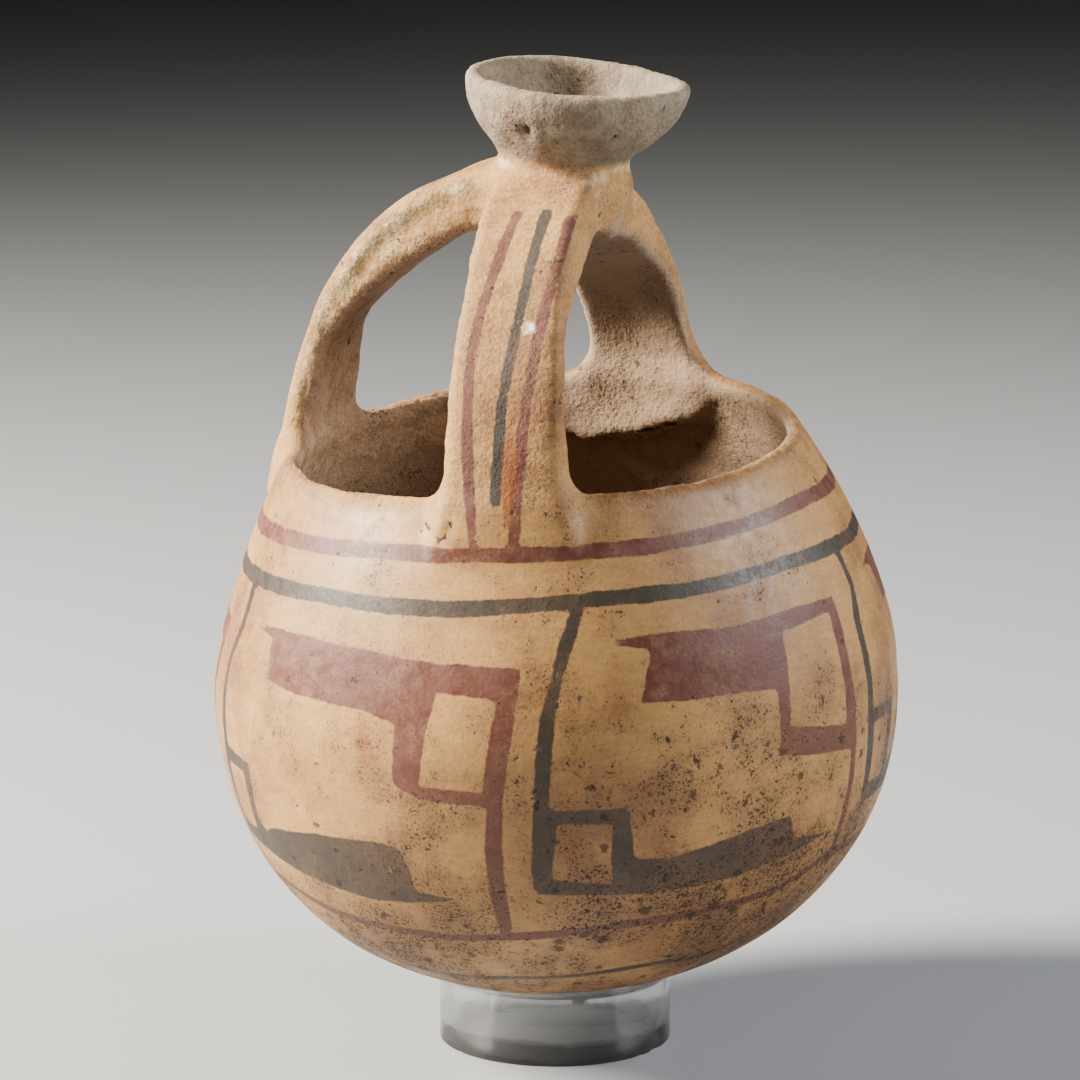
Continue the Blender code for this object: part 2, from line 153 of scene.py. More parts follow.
# Painted bands: height of the middle line, in mm, at some azimuths, and the width of the brush
PAINT_RADIUS = 70.0
RED_BAND = (3.5, [(192, 106), (230, 107.7), (262, 108.1), (290, 107.3), (333, 107.9), (354, 106), (430, 107)])
BLACK_BAND = (
    3.4,
    [(193, 97.1), (225, 98.3), (253, 97.8), (276, 98.6), (300, 97.8), (318, 98), (347, 96), (450, 97.5)],
)
RED_FOOT_LINE = (
    2.3,
    [
        (206, 32.7), (222, 30), (247, 28), (262, 28.6), (280, 29.4), (311, 29.4), (325, 33), (336, 32),
        (450, 30),
    ],
)
DARK_FOOT_LINE = (2.4, [(227, 16.4), (245, 15.4), (269, 15.4), (290, 16), (303, 15.2), (314, 17)])

# The two hand-drawn versions of the hook pattern, each as (degrees from its panel's left line, height in mm)
WIDE_PANEL = {
    "red": [
        (9.5, 89.2), (16.5, 90.2), (27, 90.4), (41, 89.5), (55, 87.6), (68.5, 86.5), (68, 80.5), (66, 70),
        (64.3, 59.5), (63.4, 50), (63, 38), (62.7, 31), (61.6, 28), (60.4, 31), (60, 40), (60.8, 51),
        (61.7, 59.1), (50.4, 60.2), (46.1, 63.4), (46.9, 75.9), (44.5, 76.7), (40.5, 77.9), (24.8, 78.9),
        (17.2, 79.9), (16.4, 88.1),
    ],
    "red_eye": [(54.2, 82.4), (64.3, 80.6), (61.2, 62.1), (50.6, 63.1)],
    "black": [
        (-1.2, 61.8), (11.4, 61), (11.6, 56), (10.5, 49), (12.2, 46), (15, 47.6), (28, 49.7), (40.7, 50.4),
        (45, 49.8), (46.3, 47.9), (46.9, 43.8), (46.9, 39.5), (55.7, 37.7), (45.5, 36.6), (37, 36.3),
        (29, 37.4), (20, 38.5), (11, 40.7), (-1.2, 41.5),
    ],
    "black_eye": [(1.2, 58.6), (8.4, 58.2), (7.9, 45), (1, 45.5)],
    "black_line": (2.5, [(2.6, 97), (2.9, 88), (0.5, 81), (0, 72), (0, 60), (0, 42)]),
    "red_line": (1.8, [(61.5, 40), (61.3, 33), (61.2, 29)]),
}
TALL_PANEL = {
    "red": [
        (7.6, 90.3), (16, 90.6), (22.6, 90.3), (30, 89.3), (39, 89.1), (46.5, 89.1), (57.4, 88.2),
        (57.2, 83), (56.6, 73), (56.9, 64), (56.6, 56.2), (54.2, 56.5), (45.6, 58.5), (37.7, 60.5),
        (37, 62), (38.1, 74.8), (30, 75.8), (23, 76.4), (13.3, 77.6), (16.4, 87.7),
    ],
    "red_eye": [(42, 85.3), (54.7, 85.6), (53.6, 61.9), (39.6, 66.3)],
    "black": [
        (-5, 57.9), (10.2, 56.7), (10.4, 46.2), (11.5, 44.9), (17, 44.4), (24, 45.4), (31, 46.8),
        (39.6, 47.2), (41.5, 41.5), (51.3, 39.3), (42.2, 37.6), (30, 36.7), (22, 36.4), (12, 36.7),
        (4, 37.7), (-6, 39.2),
    ],
    "black_eye": [(-1.3, 54.6), (7.2, 53.7), (6.8, 40.4), (-3.2, 42.4)],
    "black_line": (
        2.9,
        [(4.9, 97.4), (2.6, 91.5), (0.5, 85), (-1.6, 77), (-2.7, 68.4), (-3.6, 60), (-5, 46), (-5.2, 41)],
    ),
    "red_line": (2.0, [(55.6, 60), (55.9, 49), (55.2, 39.5), (55.4, 34), (55.4, 31)]),
}
# Which version each panel has, and the azimuth of its left line
PANELS = [
    (WIDE_PANEL, 197.0),
    (TALL_PANEL, 271.0),
    (WIDE_PANEL, 333.3),
    (TALL_PANEL, 48.0),
    (WIDE_PANEL, 122.0),
]
# How far round from its left line the middle of a panel is taken, where its outline is flattened
PANEL_MIDDLE = 30

# Stripes down the front of a strap: colour, brush width, and (height, mm to the right of the middle)
STRIPES = [
    (
        "red",
        2.3,
        [
            (108, -5.0), (115, -5.6), (121, -6.3), (130, -6.9), (145, -7.0), (154, -5.7), (162, -4.0),
            (170, -2.2),
        ],
    ),
    ("black", 2.3, [(117, -0.9), (125, -0.5), (136, 0.0), (145, 1.4), (160, 3.2), (170, 3.8)]),
    ("red", 2.5, [(108, 2.6), (112.5, 3.1), (121, 3.5), (133, 4.7), (149, 6.8), (163, 9.0), (169, 9.1)]),
]
# The same stripes on the other two straps, shifted this far to the right in mm
STRIPE_SHIFT = {"left": -3.6, "right": -1.0}

# Marks of use and age on the outside: azimuth, height in mm, half width, half height and tilt in degrees
GOUGES = [
    (292.5, 64.0, 0.55, 1.9, 14),
    (288.0, 69.5, 0.6, 0.8, 0),
    (276.5, 74.0, 0.5, 0.6, 0),
    (222.0, 55.0, 0.5, 0.7, 30),
]
SMEARS = [(238.0, 71.0, 2.4, 5.5, 8), (204.0, 88.0, 2.5, 2.2, 0), (208.0, 105.0, 2.0, 2.5, 0)]
# Cracks where the clay of the front strap's foot was smeared over the wall, as (azimuth, height) paths
CRACKS = [
    [(246.0, 113.5), (248.5, 111.8), (250.5, 110.6), (251.5, 111.6), (252.6, 113.6), (252.2, 115.0)],
    [(250.5, 110.6), (249.6, 109.8)],
]
# Lower edge of the clay smeared inside under the right strap, as (azimuth, height)
SMEAR_EDGE = [(52.0, 108.0), (60.0, 106.6), (70.0, 104.6), (79.0, 103.2), (90.0, 102.0)]
# Pits in the cup's outside: azimuth, height on the cup in mm, radius and depth in mm
CUP_PITS = [
    (243.0, 8.6, 1.9, 1.3),
    (228.0, 5.0, 1.0, 0.6),
    (262.0, 11.5, 0.8, 0.5),
    (296.0, 9.0, 0.9, 0.5),
    (215.0, 11.0, 1.0, 0.6),
]
# On the front strap, mm to the right of its middle and height: a flake knocked off, and a dribble of paint
FLAKE = (4.6, 150.1)
DRIBBLE = (2.0, 122.5)

# Noise in the clay's colour: size in mm, detail and roughness. Streaks are drawn out by the rubbing pebble
CLAY_PATTERNS = {
    "broad": (42, 3, 0.5),
    "patches": (13, 4, 0.6),
    "streaks": (6, 4, 0.65),
    "mottle": (3.4, 4, 0.62),
    "ragged": (2.3, 6, 0.78),
    "grains": (0.9, 3, 0.6),
    "fine": (0.75, 3, 0.6),
    "dust": (0.5, 2, 0.5),
}
RUBBED_STRETCH = (0.5, 0.5, 4.0)
WIPED_STRETCH = (0.35, 0.35, 2.2)
PORE_SPACING = 4.5
# What is kept on the points of the skin for the material to read
KEPT = "bare cup unrubbed specks inside red_edge black_edge chalk stain hollow".split()
# Shares of the finish: the weights of its patterns, where its soft step starts and ends, and the shares there
SHARES = {
    "fired": ({"broad": 0.6, "patches": 0.4}, -0.1, 0.16, 0.0, 1.0),
    "fired_mottle": ({"mottle": 0.7, "grains": 0.3}, -0.12, 0.2, 0.0, 0.5),
    "rubbed": ({"streaks": 0.26, "grains": 0.44, "mottle": 0.3}, -0.13, 0.12, 0.0, 1.0),
    "dusty": ({"mottle": 0.5, "grains": 0.5}, -0.14, 0.12, 0.0, 1.0),
    "red": ({"red_edge": 1.0, "patches": 1.3, "mottle": 0.8, "grains": 0.45}, -0.25, 0.2, 1.0, 0.0),
    "red_left": ({"patches": 0.9, "mottle": 0.8, "grains": 0.7}, 0.0, 0.4, 0.95, 0.66),
    # Random patches of paler purplish red: thin paint and a painted sheen
    "red_thin_and_sheen": ({"mottle": 1.0}, -0.15, 0.15, 0.0, 1.0),
    "black": ({"black_edge": 1.0, "patches": 1.3, "mottle": 0.8, "grains": 0.45}, -0.25, 0.2, 1.0, 0.0),
    "black_left": ({"patches": 0.9, "mottle": 0.8, "grains": 0.7}, 0.14, 0.55, 0.95, 0.7),
    "gritty": ({"mottle": 0.6, "grains": 0.4}, -0.14, 0.14, 0.0, 1.0),
    "bare_clay": ({"bare": 1.0, "mottle": 0.7}, 0.25, 0.75, 0.0, 1.0),
    "cup_clay": ({"cup": 1.0, "patches": 0.5, "mottle": 0.7}, 0.2, 0.9, 0.0, 1.0),
    "chalky": ({"chalk": 1.0, "mottle": 1.8, "patches": 1.0}, 0.3, 1.0, 0.0, 0.85),
    "knocked": ({"chalk": 1.0, "mottle": 1.2, "grains": 2.6}, 1.1, 1.35, 0.0, 1.0),
    "stained": ({"stain": 1.0, "mottle": 1.2}, 0.35, 1.1, 0.0, 0.86),
    "speck_limit": ({"specks": 1.0, "mottle": 1.3, "patches": 1.5}, 0.0, 1.1, 0.26, 0.05),
    "speck": ({"fine": 1.0, "speck_limit": -1.0}, -0.02, 0.05, 0.0, 0.95),
    "blot": ({"ragged": 1.0, "speck_limit": -1.0}, -0.015, 0.06, 0.0, 0.9),
    "pepper_limit": ({"specks": 1.0, "mottle": 1.3, "patches": 1.5}, 0.0, 1.2, 0.2, 0.0),
    "pepper": ({"dust": 1.0, "pepper_limit": -1.0}, -0.02, 0.1, 0.0, 0.6),
    "pit": ({"pore": 1.0, "grains": 0.6, "specks": -0.34, "pick": 0.34}, -0.06, 0.04, 0.75, 0.0),
    # Painted shade in the hollows: gouges, cracks, cup pits and the gap under the smeared clay
    "hollow_shade": ({"hollow": 1.0}, 0.68, 0.8, 0.0, 0.85),
    "grime": ({"specks": 1.0, "patches": 1.6, "ragged": 0.8}, 0.3, 1.1, 0.0, 0.5),
    "sheen": ({"mottle": 0.6, "grains": 0.4}, -0.14, 0.14, 0.42, 0.6),
}
# Shares that are the product of two others, and those that are the greatest of some others
PRODUCTS = {
    "red_cover": ("red", "red_left"),
    "black_cover": ("black", "black_left"),
    "dusty_cover": ("unrubbed", 0.85),
    # Painted shade down inside the jar and under the right strap
    "inside_shade_cover": ("inside", 0.5),
    "coarse_slip": ("unrubbed", 0.8),
}
GREATEST = {
    # The pores' dark specks and the painted shade in the hollows go into pits and dark
    "pits_and_hollow_shade": ("pit", "hollow_shade"),
    "dark": ("pits_and_hollow_shade", "speck", "blot", "pepper"),
    "unslipped": ("bare", "cup", "coarse_slip"),
    "dull": ("bare_clay", "cup_clay", "chalky", "coarse_slip"),
}
# What a share does to the tone of the colour under it, in its low places and in its high ones
TONES = {
    "rubbed": ((0.76, 0.73, 0.7, 1.0), (1.1, 1.1, 1.1, 1.0)),
    "dusty": ((0.68, 0.65, 0.6, 1.0), (1.06, 1.08, 1.1, 1.0)),
    "gritty": ((0.62, 0.58, 0.53, 1.0), (1.14, 1.12, 1.09, 1.0)),
}

# Studio: for each light its place, where it is turned to, its width in metres and its colour
LIGHTS = {
    "key": ((-1.09, -0.03, 0.76), (0, 0, 0.11), 0.5, (1.0, 0.935, 0.82)),
    "side": ((1.0, -0.12, 0.68), (0, 0, 0.1), 0.6, (0.95, 0.97, 1.0)),
    "fill": ((-0.1, -1.2, 0.7), (0, 0, 0.1), 0.7, (1.0, 1.0, 1.0)),
}
AIR_GLOW = 0.025
FLOOR_HALF = 9.0
SENSOR_WIDTH = 36.0
FOCAL_LENGTH = 147.6
CAMERA_TILT = 80.06
CAMERA_TURN = 0.2


def eased(share):
    """A share kept between 0 and 1 and eased at both ends."""
    share = np.clip(share, 0.0, 1.0)
    return share * share * (3 - 2 * share)


def linear(colour):
    """The linear values of an sRGB hex colour such as "#c8a070"."""
    values = [int(colour[i : i + 2], 16) / 255 for i in (1, 3, 5)]
    return tuple(v / 12.92 if v <= 0.04045 else ((v + 0.055) / 1.055) ** 2.4 for v in values) + (1.0,)


def colour_property(name, description, colour):
    return FloatVectorProperty(
        name=name, description=description, subtype="COLOR", size=4, min=0.0, max=1.0, default=linear(colour)
    )


def length_property(name, description, metres):
    return FloatProperty(
        name=name, description=description, subtype="DISTANCE", unit="LENGTH", min=0.0, default=metres
    )


def power_property(name, description, watts):
    return FloatProperty(name=name, description=description, subtype="POWER", min=0.0, default=watts)


class PotteryJarSizes(PropertyGroup):
    belly_radius: length_property("Belly Radius", "Outside radius of the body at its widest", 73.2 * MM)
    belly_height: length_property("Belly Height", "Height of the widest place over the base", 67.0 * MM)
    mouth_radius: length_property("Mouth Radius", "Outside radius of the body at its rim", 54.4 * MM)
    rim_height: length_property("Rim Height", "Height of the rim over the base", 118.6 * MM)
    wall: length_property("Wall", "Thickness of the clay wall", 4.8 * MM)
    strap_width: length_property("Strap Width", "Width of a strap handle halfway up", 23.6 * MM)
    strap_thickness: length_property("Strap Thickness", "Thickness of a strap handle halfway up", 5.8 * MM)
    cup_radius: length_property("Cup Radius", "Outside radius of the small cup's rim", 22.6 * MM)


class PotteryJarFinish(PropertyGroup):
    slip: colour_property("Slip", "Cream slip that covers the outside, burnished", "#a67e49")
    slip_fired: colour_property("Fired Slip", "Slip where the fire turned it more orange", "#7b5431")
    bare_clay: colour_property("Bare Clay", "Unslipped clay on the inside and under the straps", "#a08366")
    # Painted shade: this colour darkens the clay down inside the jar and under the right strap
    shade_inside: colour_property("Dark Inside", "Stained clay down in the jar", "#7a6450")
    cup_clay: colour_property("Cup Clay", "Greyish rough clay of the small cup", "#7a6d5b")
    red_paint: colour_property("Red Paint", "Purplish iron red of the hooks and bands", "#4a2019")
    red_paint_thin: colour_property("Thin Red Paint", "The same red where it was rubbed pale", "#583029")
    # Partly thin paint and partly a painted purplish sheen, laid over the red in random patches
    black_paint: colour_property("Black Paint", "Grey black of the hooks and bands", "#24211d")
    # Also the painted shade in the gouges, cracks, cup pits and under the smeared clay's lip
    soot_and_hollow_shade: colour_property("Soot", "Dark specks and stains in the lower half", "#1a120b")
    grime: colour_property("Grime", "Brown haze of dirt round the specks", "#6a4b30")
    chalky_clay: colour_property("Chalky Clay", "Pale crumbly clay on folds and under the cup", "#b39a70")
    knocked_clay: colour_property("Knocked Clay", "Fresh pale clay where a flake came off", "#ded6c4")
    stain: colour_property("Stain", "Orange smears of thin paint", "#743c12")


class ClearRingSettings(PropertyGroup):
    radius: length_property("Radius", "Outside radius of the tube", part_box("ring_stand")[1][0])
    height: length_property("Height", "Length of the slice of tube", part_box("ring_stand")[1][2])
    tint: colour_property("Tint", "Faint tint of the clear acrylic", "#f4f7f6")
    low_band: colour_property("Low Band", "Smoky band along the ring's foot", "#262626")


class JarStageSettings(PropertyGroup):
    floor: colour_property("Floor", "Painted board under the jar", "#8c8e91")
    key_power: power_property("Key Power", "Soft light from the left", 150.0)
    side_power: power_property("Side Power", "Softer light from the right", 25.0)
    fill_power: power_property("Fill Power", "Weak light over the camera", 1.2)
    camera_distance: length_property("Camera Distance", "From the jar's axis to the camera", 0.93)
    camera_height: length_property("Camera Height", "Camera over the floor", 0.272)


class Table:
    """Values kept on a fine flat grid, looked up between its points."""

    def __init__(self, line, margin):
        self.low = np.min(line, axis=0) - margin
        high = np.max(line, axis=0) + margin
        sides = [np.arange(a, b + TABLE_STEP, TABLE_STEP) for a, b in zip(self.low, high)]
        self.across, self.up = np.meshgrid(*sides, indexing="ij")

    def at(self, values, across, up):
        a = np.clip((across - self.low[0]) / TABLE_STEP, 0, values.shape[0] - 1.001)
        b = np.clip((up - self.low[1]) / TABLE_STEP, 0, values.shape[1] - 1.001)
        i, j = a.astype(int), b.astype(int)
        a, b = a - i, b - j
        near = values[i, j] * (1 - b) + values[i, j + 1] * b
        far = values[i + 1, j] * (1 - b) + values[i + 1, j + 1] * b
        return near * (1 - a) + far * a


def nearest_on(line, across, up):
    """Distance from each point to a flat line, and how far along the line its nearest point is."""
    nearest = np.full(across.shape, np.inf)
    along = np.zeros(across.shape)
    run = 0.0
    for (across0, up0), (across1, up1) in zip(line, line[1:]):
        step_across, step_up = across1 - across0, up1 - up0
        length = max(math.hypot(step_across, step_up), 1e-9)
        share = ((across - across0) * step_across + (up - up0) * step_up) / length**2
        share = np.clip(share, 0.0, 1.0)
        away = np.hypot(across - across0 - share * step_across, up - up0 - share * step_up)
        nearer = away < nearest
        nearest[nearer] = away[nearer]
        along[nearer] = (run + share * length)[nearer]
        run += length
    return nearest, along


def is_within(line, across, up):
    """Whether each point lies inside the closed outline."""
    crossings = np.zeros(across.shape, dtype=int)
    for (across0, up0), (across1, up1) in zip(line, line[1:] + line[:1]):
        if up0 == up1:
            continue
        spans = (up0 > up) != (up1 > up)
        meets = across0 + (up - up0) / (up1 - up0) * (across1 - across0)
        crossings += spans & (across < meets)
    return crossings % 2 == 1


def merged(first, second, blend):
    """The union of two fields, with the join between them filled to a smooth hollow."""
    mix = np.clip(0.5 + 0.5 * (second - first) / blend, 0.0, 1.0)
    return second + (first - second) * mix - blend * mix * (1 - mix)


class Turned:
    """A solid turned from a half outline that starts and ends on the axis."""

    def __init__(self, outline):
        self.table = Table(outline, 12 * MM)
        self.away, _ = nearest_on(outline, self.table.across, self.table.up)
        self.away[is_within(outline, np.abs(self.table.across), self.table.up)] *= -1

    def field(self, radius, height):
        return self.table.at(self.away, radius, height)


class Bar:
    """A flat bar of clay along a path in one upright plane, lying along the wall at its foot."""

    def __init__(self, sizes, middle, widths, thicknesses, azimuth, outer=None):
        self.sizes = sizes
        self.end = middle[-1]
        self.way = Vector((middle[0].x - self.end.x, middle[0].y - self.end.y)).normalized()
        self.turn = math.tan(math.atan2(self.way.y, self.way.x) - azimuth)
        line = [((p.x - self.end.x) * self.way.x + (p.y - self.end.y) * self.way.y, p.z) for p in middle]
        self.table = Table(line, 14 * MM)
        self.away, self.along = nearest_on(line, self.table.across, self.table.up)
        if outer:
            face = [((p.x - self.end.x) * self.way.x + (p.y - self.end.y) * self.way.y, p.z) for p in outer]
            self.from_face, _ = nearest_on(face, self.table.across, self.table.up)
        self.runs = np.cumsum([0.0] + [(b - a).length for a, b in zip(middle, middle[1:])])
        self.widths, self.thicknesses = widths, thicknesses

    def side(self, x, y):
        """How far a point is to the right of the bar's middle, seen from outside."""
        return (y - self.end.y) * self.way.x - (x - self.end.x) * self.way.y

    def depth(self, x, y, z):
        """How far a point is under the bar's outer face."""
        out = (x - self.end.x) * self.way.x + (y - self.end.y) * self.way.y
        return self.table.at(self.from_face, out, z)

    def field(self, x, y, z):
        out = (x - self.end.x) * self.way.x + (y - self.end.y) * self.way.y
        side = self.side(x, y)
        risen = eased((z - self.sizes.rim_height) / (0.6 * CROWN_HEIGHT))
        curved = side**2 * (1 - 0.8 * risen) * 0.5 / self.sizes.mouth_radius
        bent = out + curved - side * (1 - risen) * self.turn
        away, along = self.table.at(self.away, bent, z), self.table.at(self.along, bent, z)
        half_width = np.interp(along, self.runs, self.widths) / 2
        half_thick = np.interp(along, self.runs, self.thicknesses) / 2
        edge = np.minimum(STRAP_EDGE, half_thick * 0.9)
        beside = np.abs(side) - half_width + edge
        above = away - half_thick + edge
        rounded = np.hypot(np.maximum(beside, 0), np.maximum(above, 0))
        return rounded + np.minimum(np.maximum(beside, above), 0) - edge


class JarForm:
    """The jar as fields of distances to the surfaces of its parts."""

    def __init__(self, sizes):
        self.sizes = sizes
        self.body_solid = Turned(self.body_outline())
        self.cup_solid = Turned(self.cup_outline())
        self.straps = {side: self.strap(side) for side in STRAPS}

    def radius_at(self, height):
        """Outside radius of the body: a full round below the belly, an easing curve above it."""
        belly, tall = self.sizes.belly_height, self.sizes.rim_height
        below = np.clip((belly - height) / belly, 0.0, 1.0)
        above = np.maximum(height - belly, 0.0) / (tall - belly)
        narrowing = (self.sizes.belly_radius - self.sizes.mouth_radius) * above**SHOULDER_CURVE
        return self.sizes.belly_radius * (1 - below**BASE_FULLNESS) ** (1 / BASE_FULLNESS) - narrowing

    def outward_at(self, height):
        """Unit normal (radial, up) of the outside, above the belly."""
        step = 0.1 * MM
        slope = (self.radius_at(height + step) - self.radius_at(height - step)) / (2 * step)
        length = math.hypot(1, slope)
        return 1 / length, -slope / length

    def shoulder_share(self, height):
        """0 at the belly, rising to 1 at the rim."""
        belly, tall = self.sizes.belly_height, self.sizes.rim_height
        return np.clip((height - belly) / (tall - belly), 0.0, 1.2) ** 2

    def rim_wander(self, azimuth):
        """How much higher or lower the uneven rim runs."""
        dip = RIM_DIP * np.clip(np.cos(azimuth - math.radians(RIM_DIP_AZIMUTH)), 0, 1) ** 2
        lift = RIM_LIFT * np.clip(np.cos(azimuth - math.radians(RIM_LIFT_AZIMUTH)), 0, 1) ** 2
        return lift - dip

    def body_outline(self):
        """(radius, height) from the base's outside, up to the rim, over the lip and down the inside."""
        belly, wall = self.sizes.belly_height, self.sizes.wall
        steps = 40
        outer = [(0.0, 0.0)]
        inner = [(0.0, FLOOR)]
        for i in range(1, steps):
            turn = math.pi / 2 * i / steps
            drop = math.cos(turn) ** (2 / BASE_FULLNESS)
            swell = math.sin(turn) ** (2 / BASE_FULLNESS)
            outer.append((self.sizes.belly_radius * swell, belly * (1 - drop)))
            inner.append(((self.sizes.belly_radius - wall) * swell, belly - (belly - FLOOR) * drop))
        lip = LIP_WALL / 2
        top = self.sizes.rim_height - lip
        for i in range(steps + 1):
            height = belly + (top - belly) * i / steps
            radial, up = self.outward_at(height)
            radius = float(self.radius_at(height))
            outer.append((radius, height))
            thick = wall + (LIP_WALL - wall) * (i / steps) ** 3
            inner.append((radius - thick * radial, height - thick * up * (i / steps)))
        radial, up = self.outward_at(top)
        centre = (float(self.radius_at(top)) - lip * radial, top - lip * up)
        over = []
        for i in range(1, 8):
            cos, sin = math.cos(math.pi * i / 8), math.sin(math.pi * i / 8)
            out, rise = radial * cos - up * sin, up * cos + radial * sin
            over.append((centre[0] + lip * out, centre[1] + lip * rise))
        return outer + over + inner[::-1]

    def cup_outline(self):
        """(radius, height) from under the waist, up the outside, over the rim and down into the bowl."""
        rim_radius = self.sizes.cup_radius
        waist = Vector((CUP_WAIST_RADIUS, 0, 0))
        leave = Vector((CUP_WAIST_RADIUS * 1.2, CUP_HEIGHT * 0.16, 0))
        swell = Vector((CUP_BELLY_RADIUS, CUP_HEIGHT * 0.42, 0))
        rim = Vector((rim_radius, CUP_HEIGHT - CUP_WALL / 2, 0))
        outer = [(0.0, -CUP_SINK), (CUP_WAIST_RADIUS * 0.8, -CUP_SINK)]
        outer += [(point.x, point.y) for point in interpolate_bezier(waist, leave, swell, rim, 24)]
        over = []
        for i in range(1, 6):
            cos, sin = math.cos(math.pi * i / 6), math.sin(math.pi * i / 6)
            over.append((rim_radius - CUP_WALL / 2 * (1 - cos), CUP_HEIGHT - CUP_WALL / 2 * (1 - sin)))
        inner = []
        for i in range(25):
            turn = math.pi / 2 * i / 24
            height = CUP_HEIGHT - CUP_WALL / 2 - (CUP_DEPTH - CUP_WALL / 2) * math.sin(turn)
            inner.append(((rim_radius - CUP_WALL) * max(0.0, math.cos(turn)) ** 0.8, height))
        return outer + over + inner

    def crown_centre(self):
        return Vector((CROWN_OFFSET[0], CROWN_OFFSET[1], self.sizes.rim_height + CROWN_HEIGHT))

    def on_body(self, azimuth, height, out):
        """A point this far out from the outside of the wall."""
        radial, up = self.outward_at(height)
        radius = float(self.radius_at(height)) + out * radial
        share = float(self.shoulder_share(height))
        x, y = radius * math.cos(azimuth) + MOUTH_SHIFT * share, radius * math.sin(azimuth)
        return Vector((x, y, height + out * up + float(self.rim_wander(azimuth)) * share))

    def strap_path(self, side):
        """Outer face of a strap: out of the wall at its foot, then a bent arch up to the crown."""
        azimuth = math.radians(STRAPS[side][0])
        over, rise_handle, crown_handle = STRAP_ARCH[side]
        outer = []
        for i in range(8):
            share = i / 8
            height = self.sizes.rim_height - FOOT_DEPTH * (1 - share)
            buried = self.sizes.wall * 0.3 * (1 - share)
            outer.append(self.on_body(azimuth, height, STRAP_STAND_OUT * float(eased(share)) - buried))
        foot = self.on_body(azimuth, self.sizes.rim_height, STRAP_STAND_OUT)
        top = self.crown_centre() + Vector((0, 0, CROWN_THICKNESS / 2 + over))
        reach = Vector((foot.x - top.x, foot.y - top.y, 0))
        climb = Vector((0, 0, top.z - foot.z))
        corner = Vector((top.x, top.y, foot.z))
        handles = [corner + reach * share[0] + climb * share[1] for share in (rise_handle, crown_handle)]
        return outer + interpolate_bezier(foot, handles[0], handles[1], top, 40)

    def strap(self, side):
        """A strap, spread where it stands on the rim and thicker where it meets the crown."""
        outer = self.strap_path(side)
        wide, thickness = self.sizes.strap_width, self.sizes.strap_thickness
        towards = Vector((outer[-1].x - outer[0].x, outer[-1].y - outer[0].y, 0)).normalized()
        middle, widths, thicknesses = [], [], []
        for i, point in enumerate(outer):
            risen = (point.z - self.sizes.rim_height) / CROWN_HEIGHT
            foot = 1 - eased((risen + 0.1) / 0.4)
            spread = FOOT_SPREAD * (1 - eased((risen + 0.3) / 0.4))
            width = wide + (STRAP_TOP_WIDTH - wide) * eased((risen - 0.3) / 0.5)
            widths.append(width + (STRAPS[side][1] - wide) * foot + spread)
            sunk = eased(1.4 * (self.sizes.rim_height - point.z) / FOOT_DEPTH)
            thick = thickness + (STRAP_TOP_THICKNESS - thickness) * eased((risen - 0.4) / 0.6)
            thicknesses.append(thick + (self.sizes.wall * 0.5 - thick) * sunk)
            run = outer[min(i + 1, len(outer) - 1)] - outer[max(i - 1, 0)]
            inwards = towards * run.z - Vector((0, 0, 1)) * run.dot(towards)
            middle.append(point + inwards.normalized() * thicknesses[-1] / 2)
        return Bar(self.sizes, middle, widths, thicknesses, math.radians(STRAPS[side][0]), outer)

    def ledge(self, x, y, z):
        """A slanting pad of clay pressed on the inside of the wall under the right strap."""
        azimuth = math.radians(STRAPS["right"][0] + LEDGE_TURN)
        centre = self.on_body(azimuth, self.sizes.rim_height - LEDGE_DROP, -self.sizes.wall)
        cos, sin = math.cos(azimuth), math.sin(azimuth)
        out = (x - centre.x) * cos + (y - centre.y) * sin
        beside = (y - centre.y) * cos - (x - centre.x) * sin
        out = out + beside**2 * 0.5 / self.sizes.mouth_radius
        up = z - centre.z - beside * LEDGE_SLANT
        parts = (out / LEDGE_SIDES[0], beside / LEDGE_SIDES[1], up / LEDGE_SIDES[2])
        size = np.sqrt(sum(part**2 for part in parts))
        steepness = np.sqrt(sum((part / side) ** 2 for part, side in zip(parts, LEDGE_SIDES)))
        return size * (size - 1) / np.maximum(steepness, 1e-6)

    def body(self, x, y, z):
        share = self.shoulder_share(z)
        shifted = x - MOUTH_SHIFT * share
        azimuth = np.arctan2(y, shifted)
        facing = np.clip(np.cos(azimuth - math.radians(SIDE_FLAT_AZIMUTH)), 0, 1) ** 2
        flat = SIDE_FLAT * facing * np.exp(-(((z - SIDE_FLAT_HEIGHT) / SIDE_FLAT_REACH) ** 2))
        return self.body_solid.field(np.hypot(shifted, y) + flat, z - self.rim_wander(azimuth) * share)

    def crown(self, x, y, z):
        centre = self.crown_centre()
        sides = (CROWN_RADIUS, CROWN_RADIUS, CROWN_THICKNESS / 2)
        parts = [(p - c) / s for p, c, s in zip((x, y, z), centre, sides)]
        size = np.sqrt(sum(p**2 for p in parts))
        steepness = np.sqrt(sum((p / s) ** 2 for p, s in zip(parts, sides)))
        return size * (size - 1) / np.maximum(steepness, 1e-6)

    def in_cup(self, x, y, z):
        """A place along the leaning cup's own axes, from its waist."""
        lean = Matrix.Rotation(math.radians(CUP_LEAN_NEAR), 3, "X")
        lean = np.array(lean @ Matrix.Rotation(math.radians(CUP_LEAN_RIGHT), 3, "Y"))
        waist = self.crown_centre() + Vector((CUP_OFFSET, 0, CROWN_THICKNESS / 2 - CUP_WAIST_SINK))
        away = (x - waist.x, y - waist.y, z - waist.z)
        return [sum(lean[row, col] * away[row] for row in range(3)) for col in range(3)]

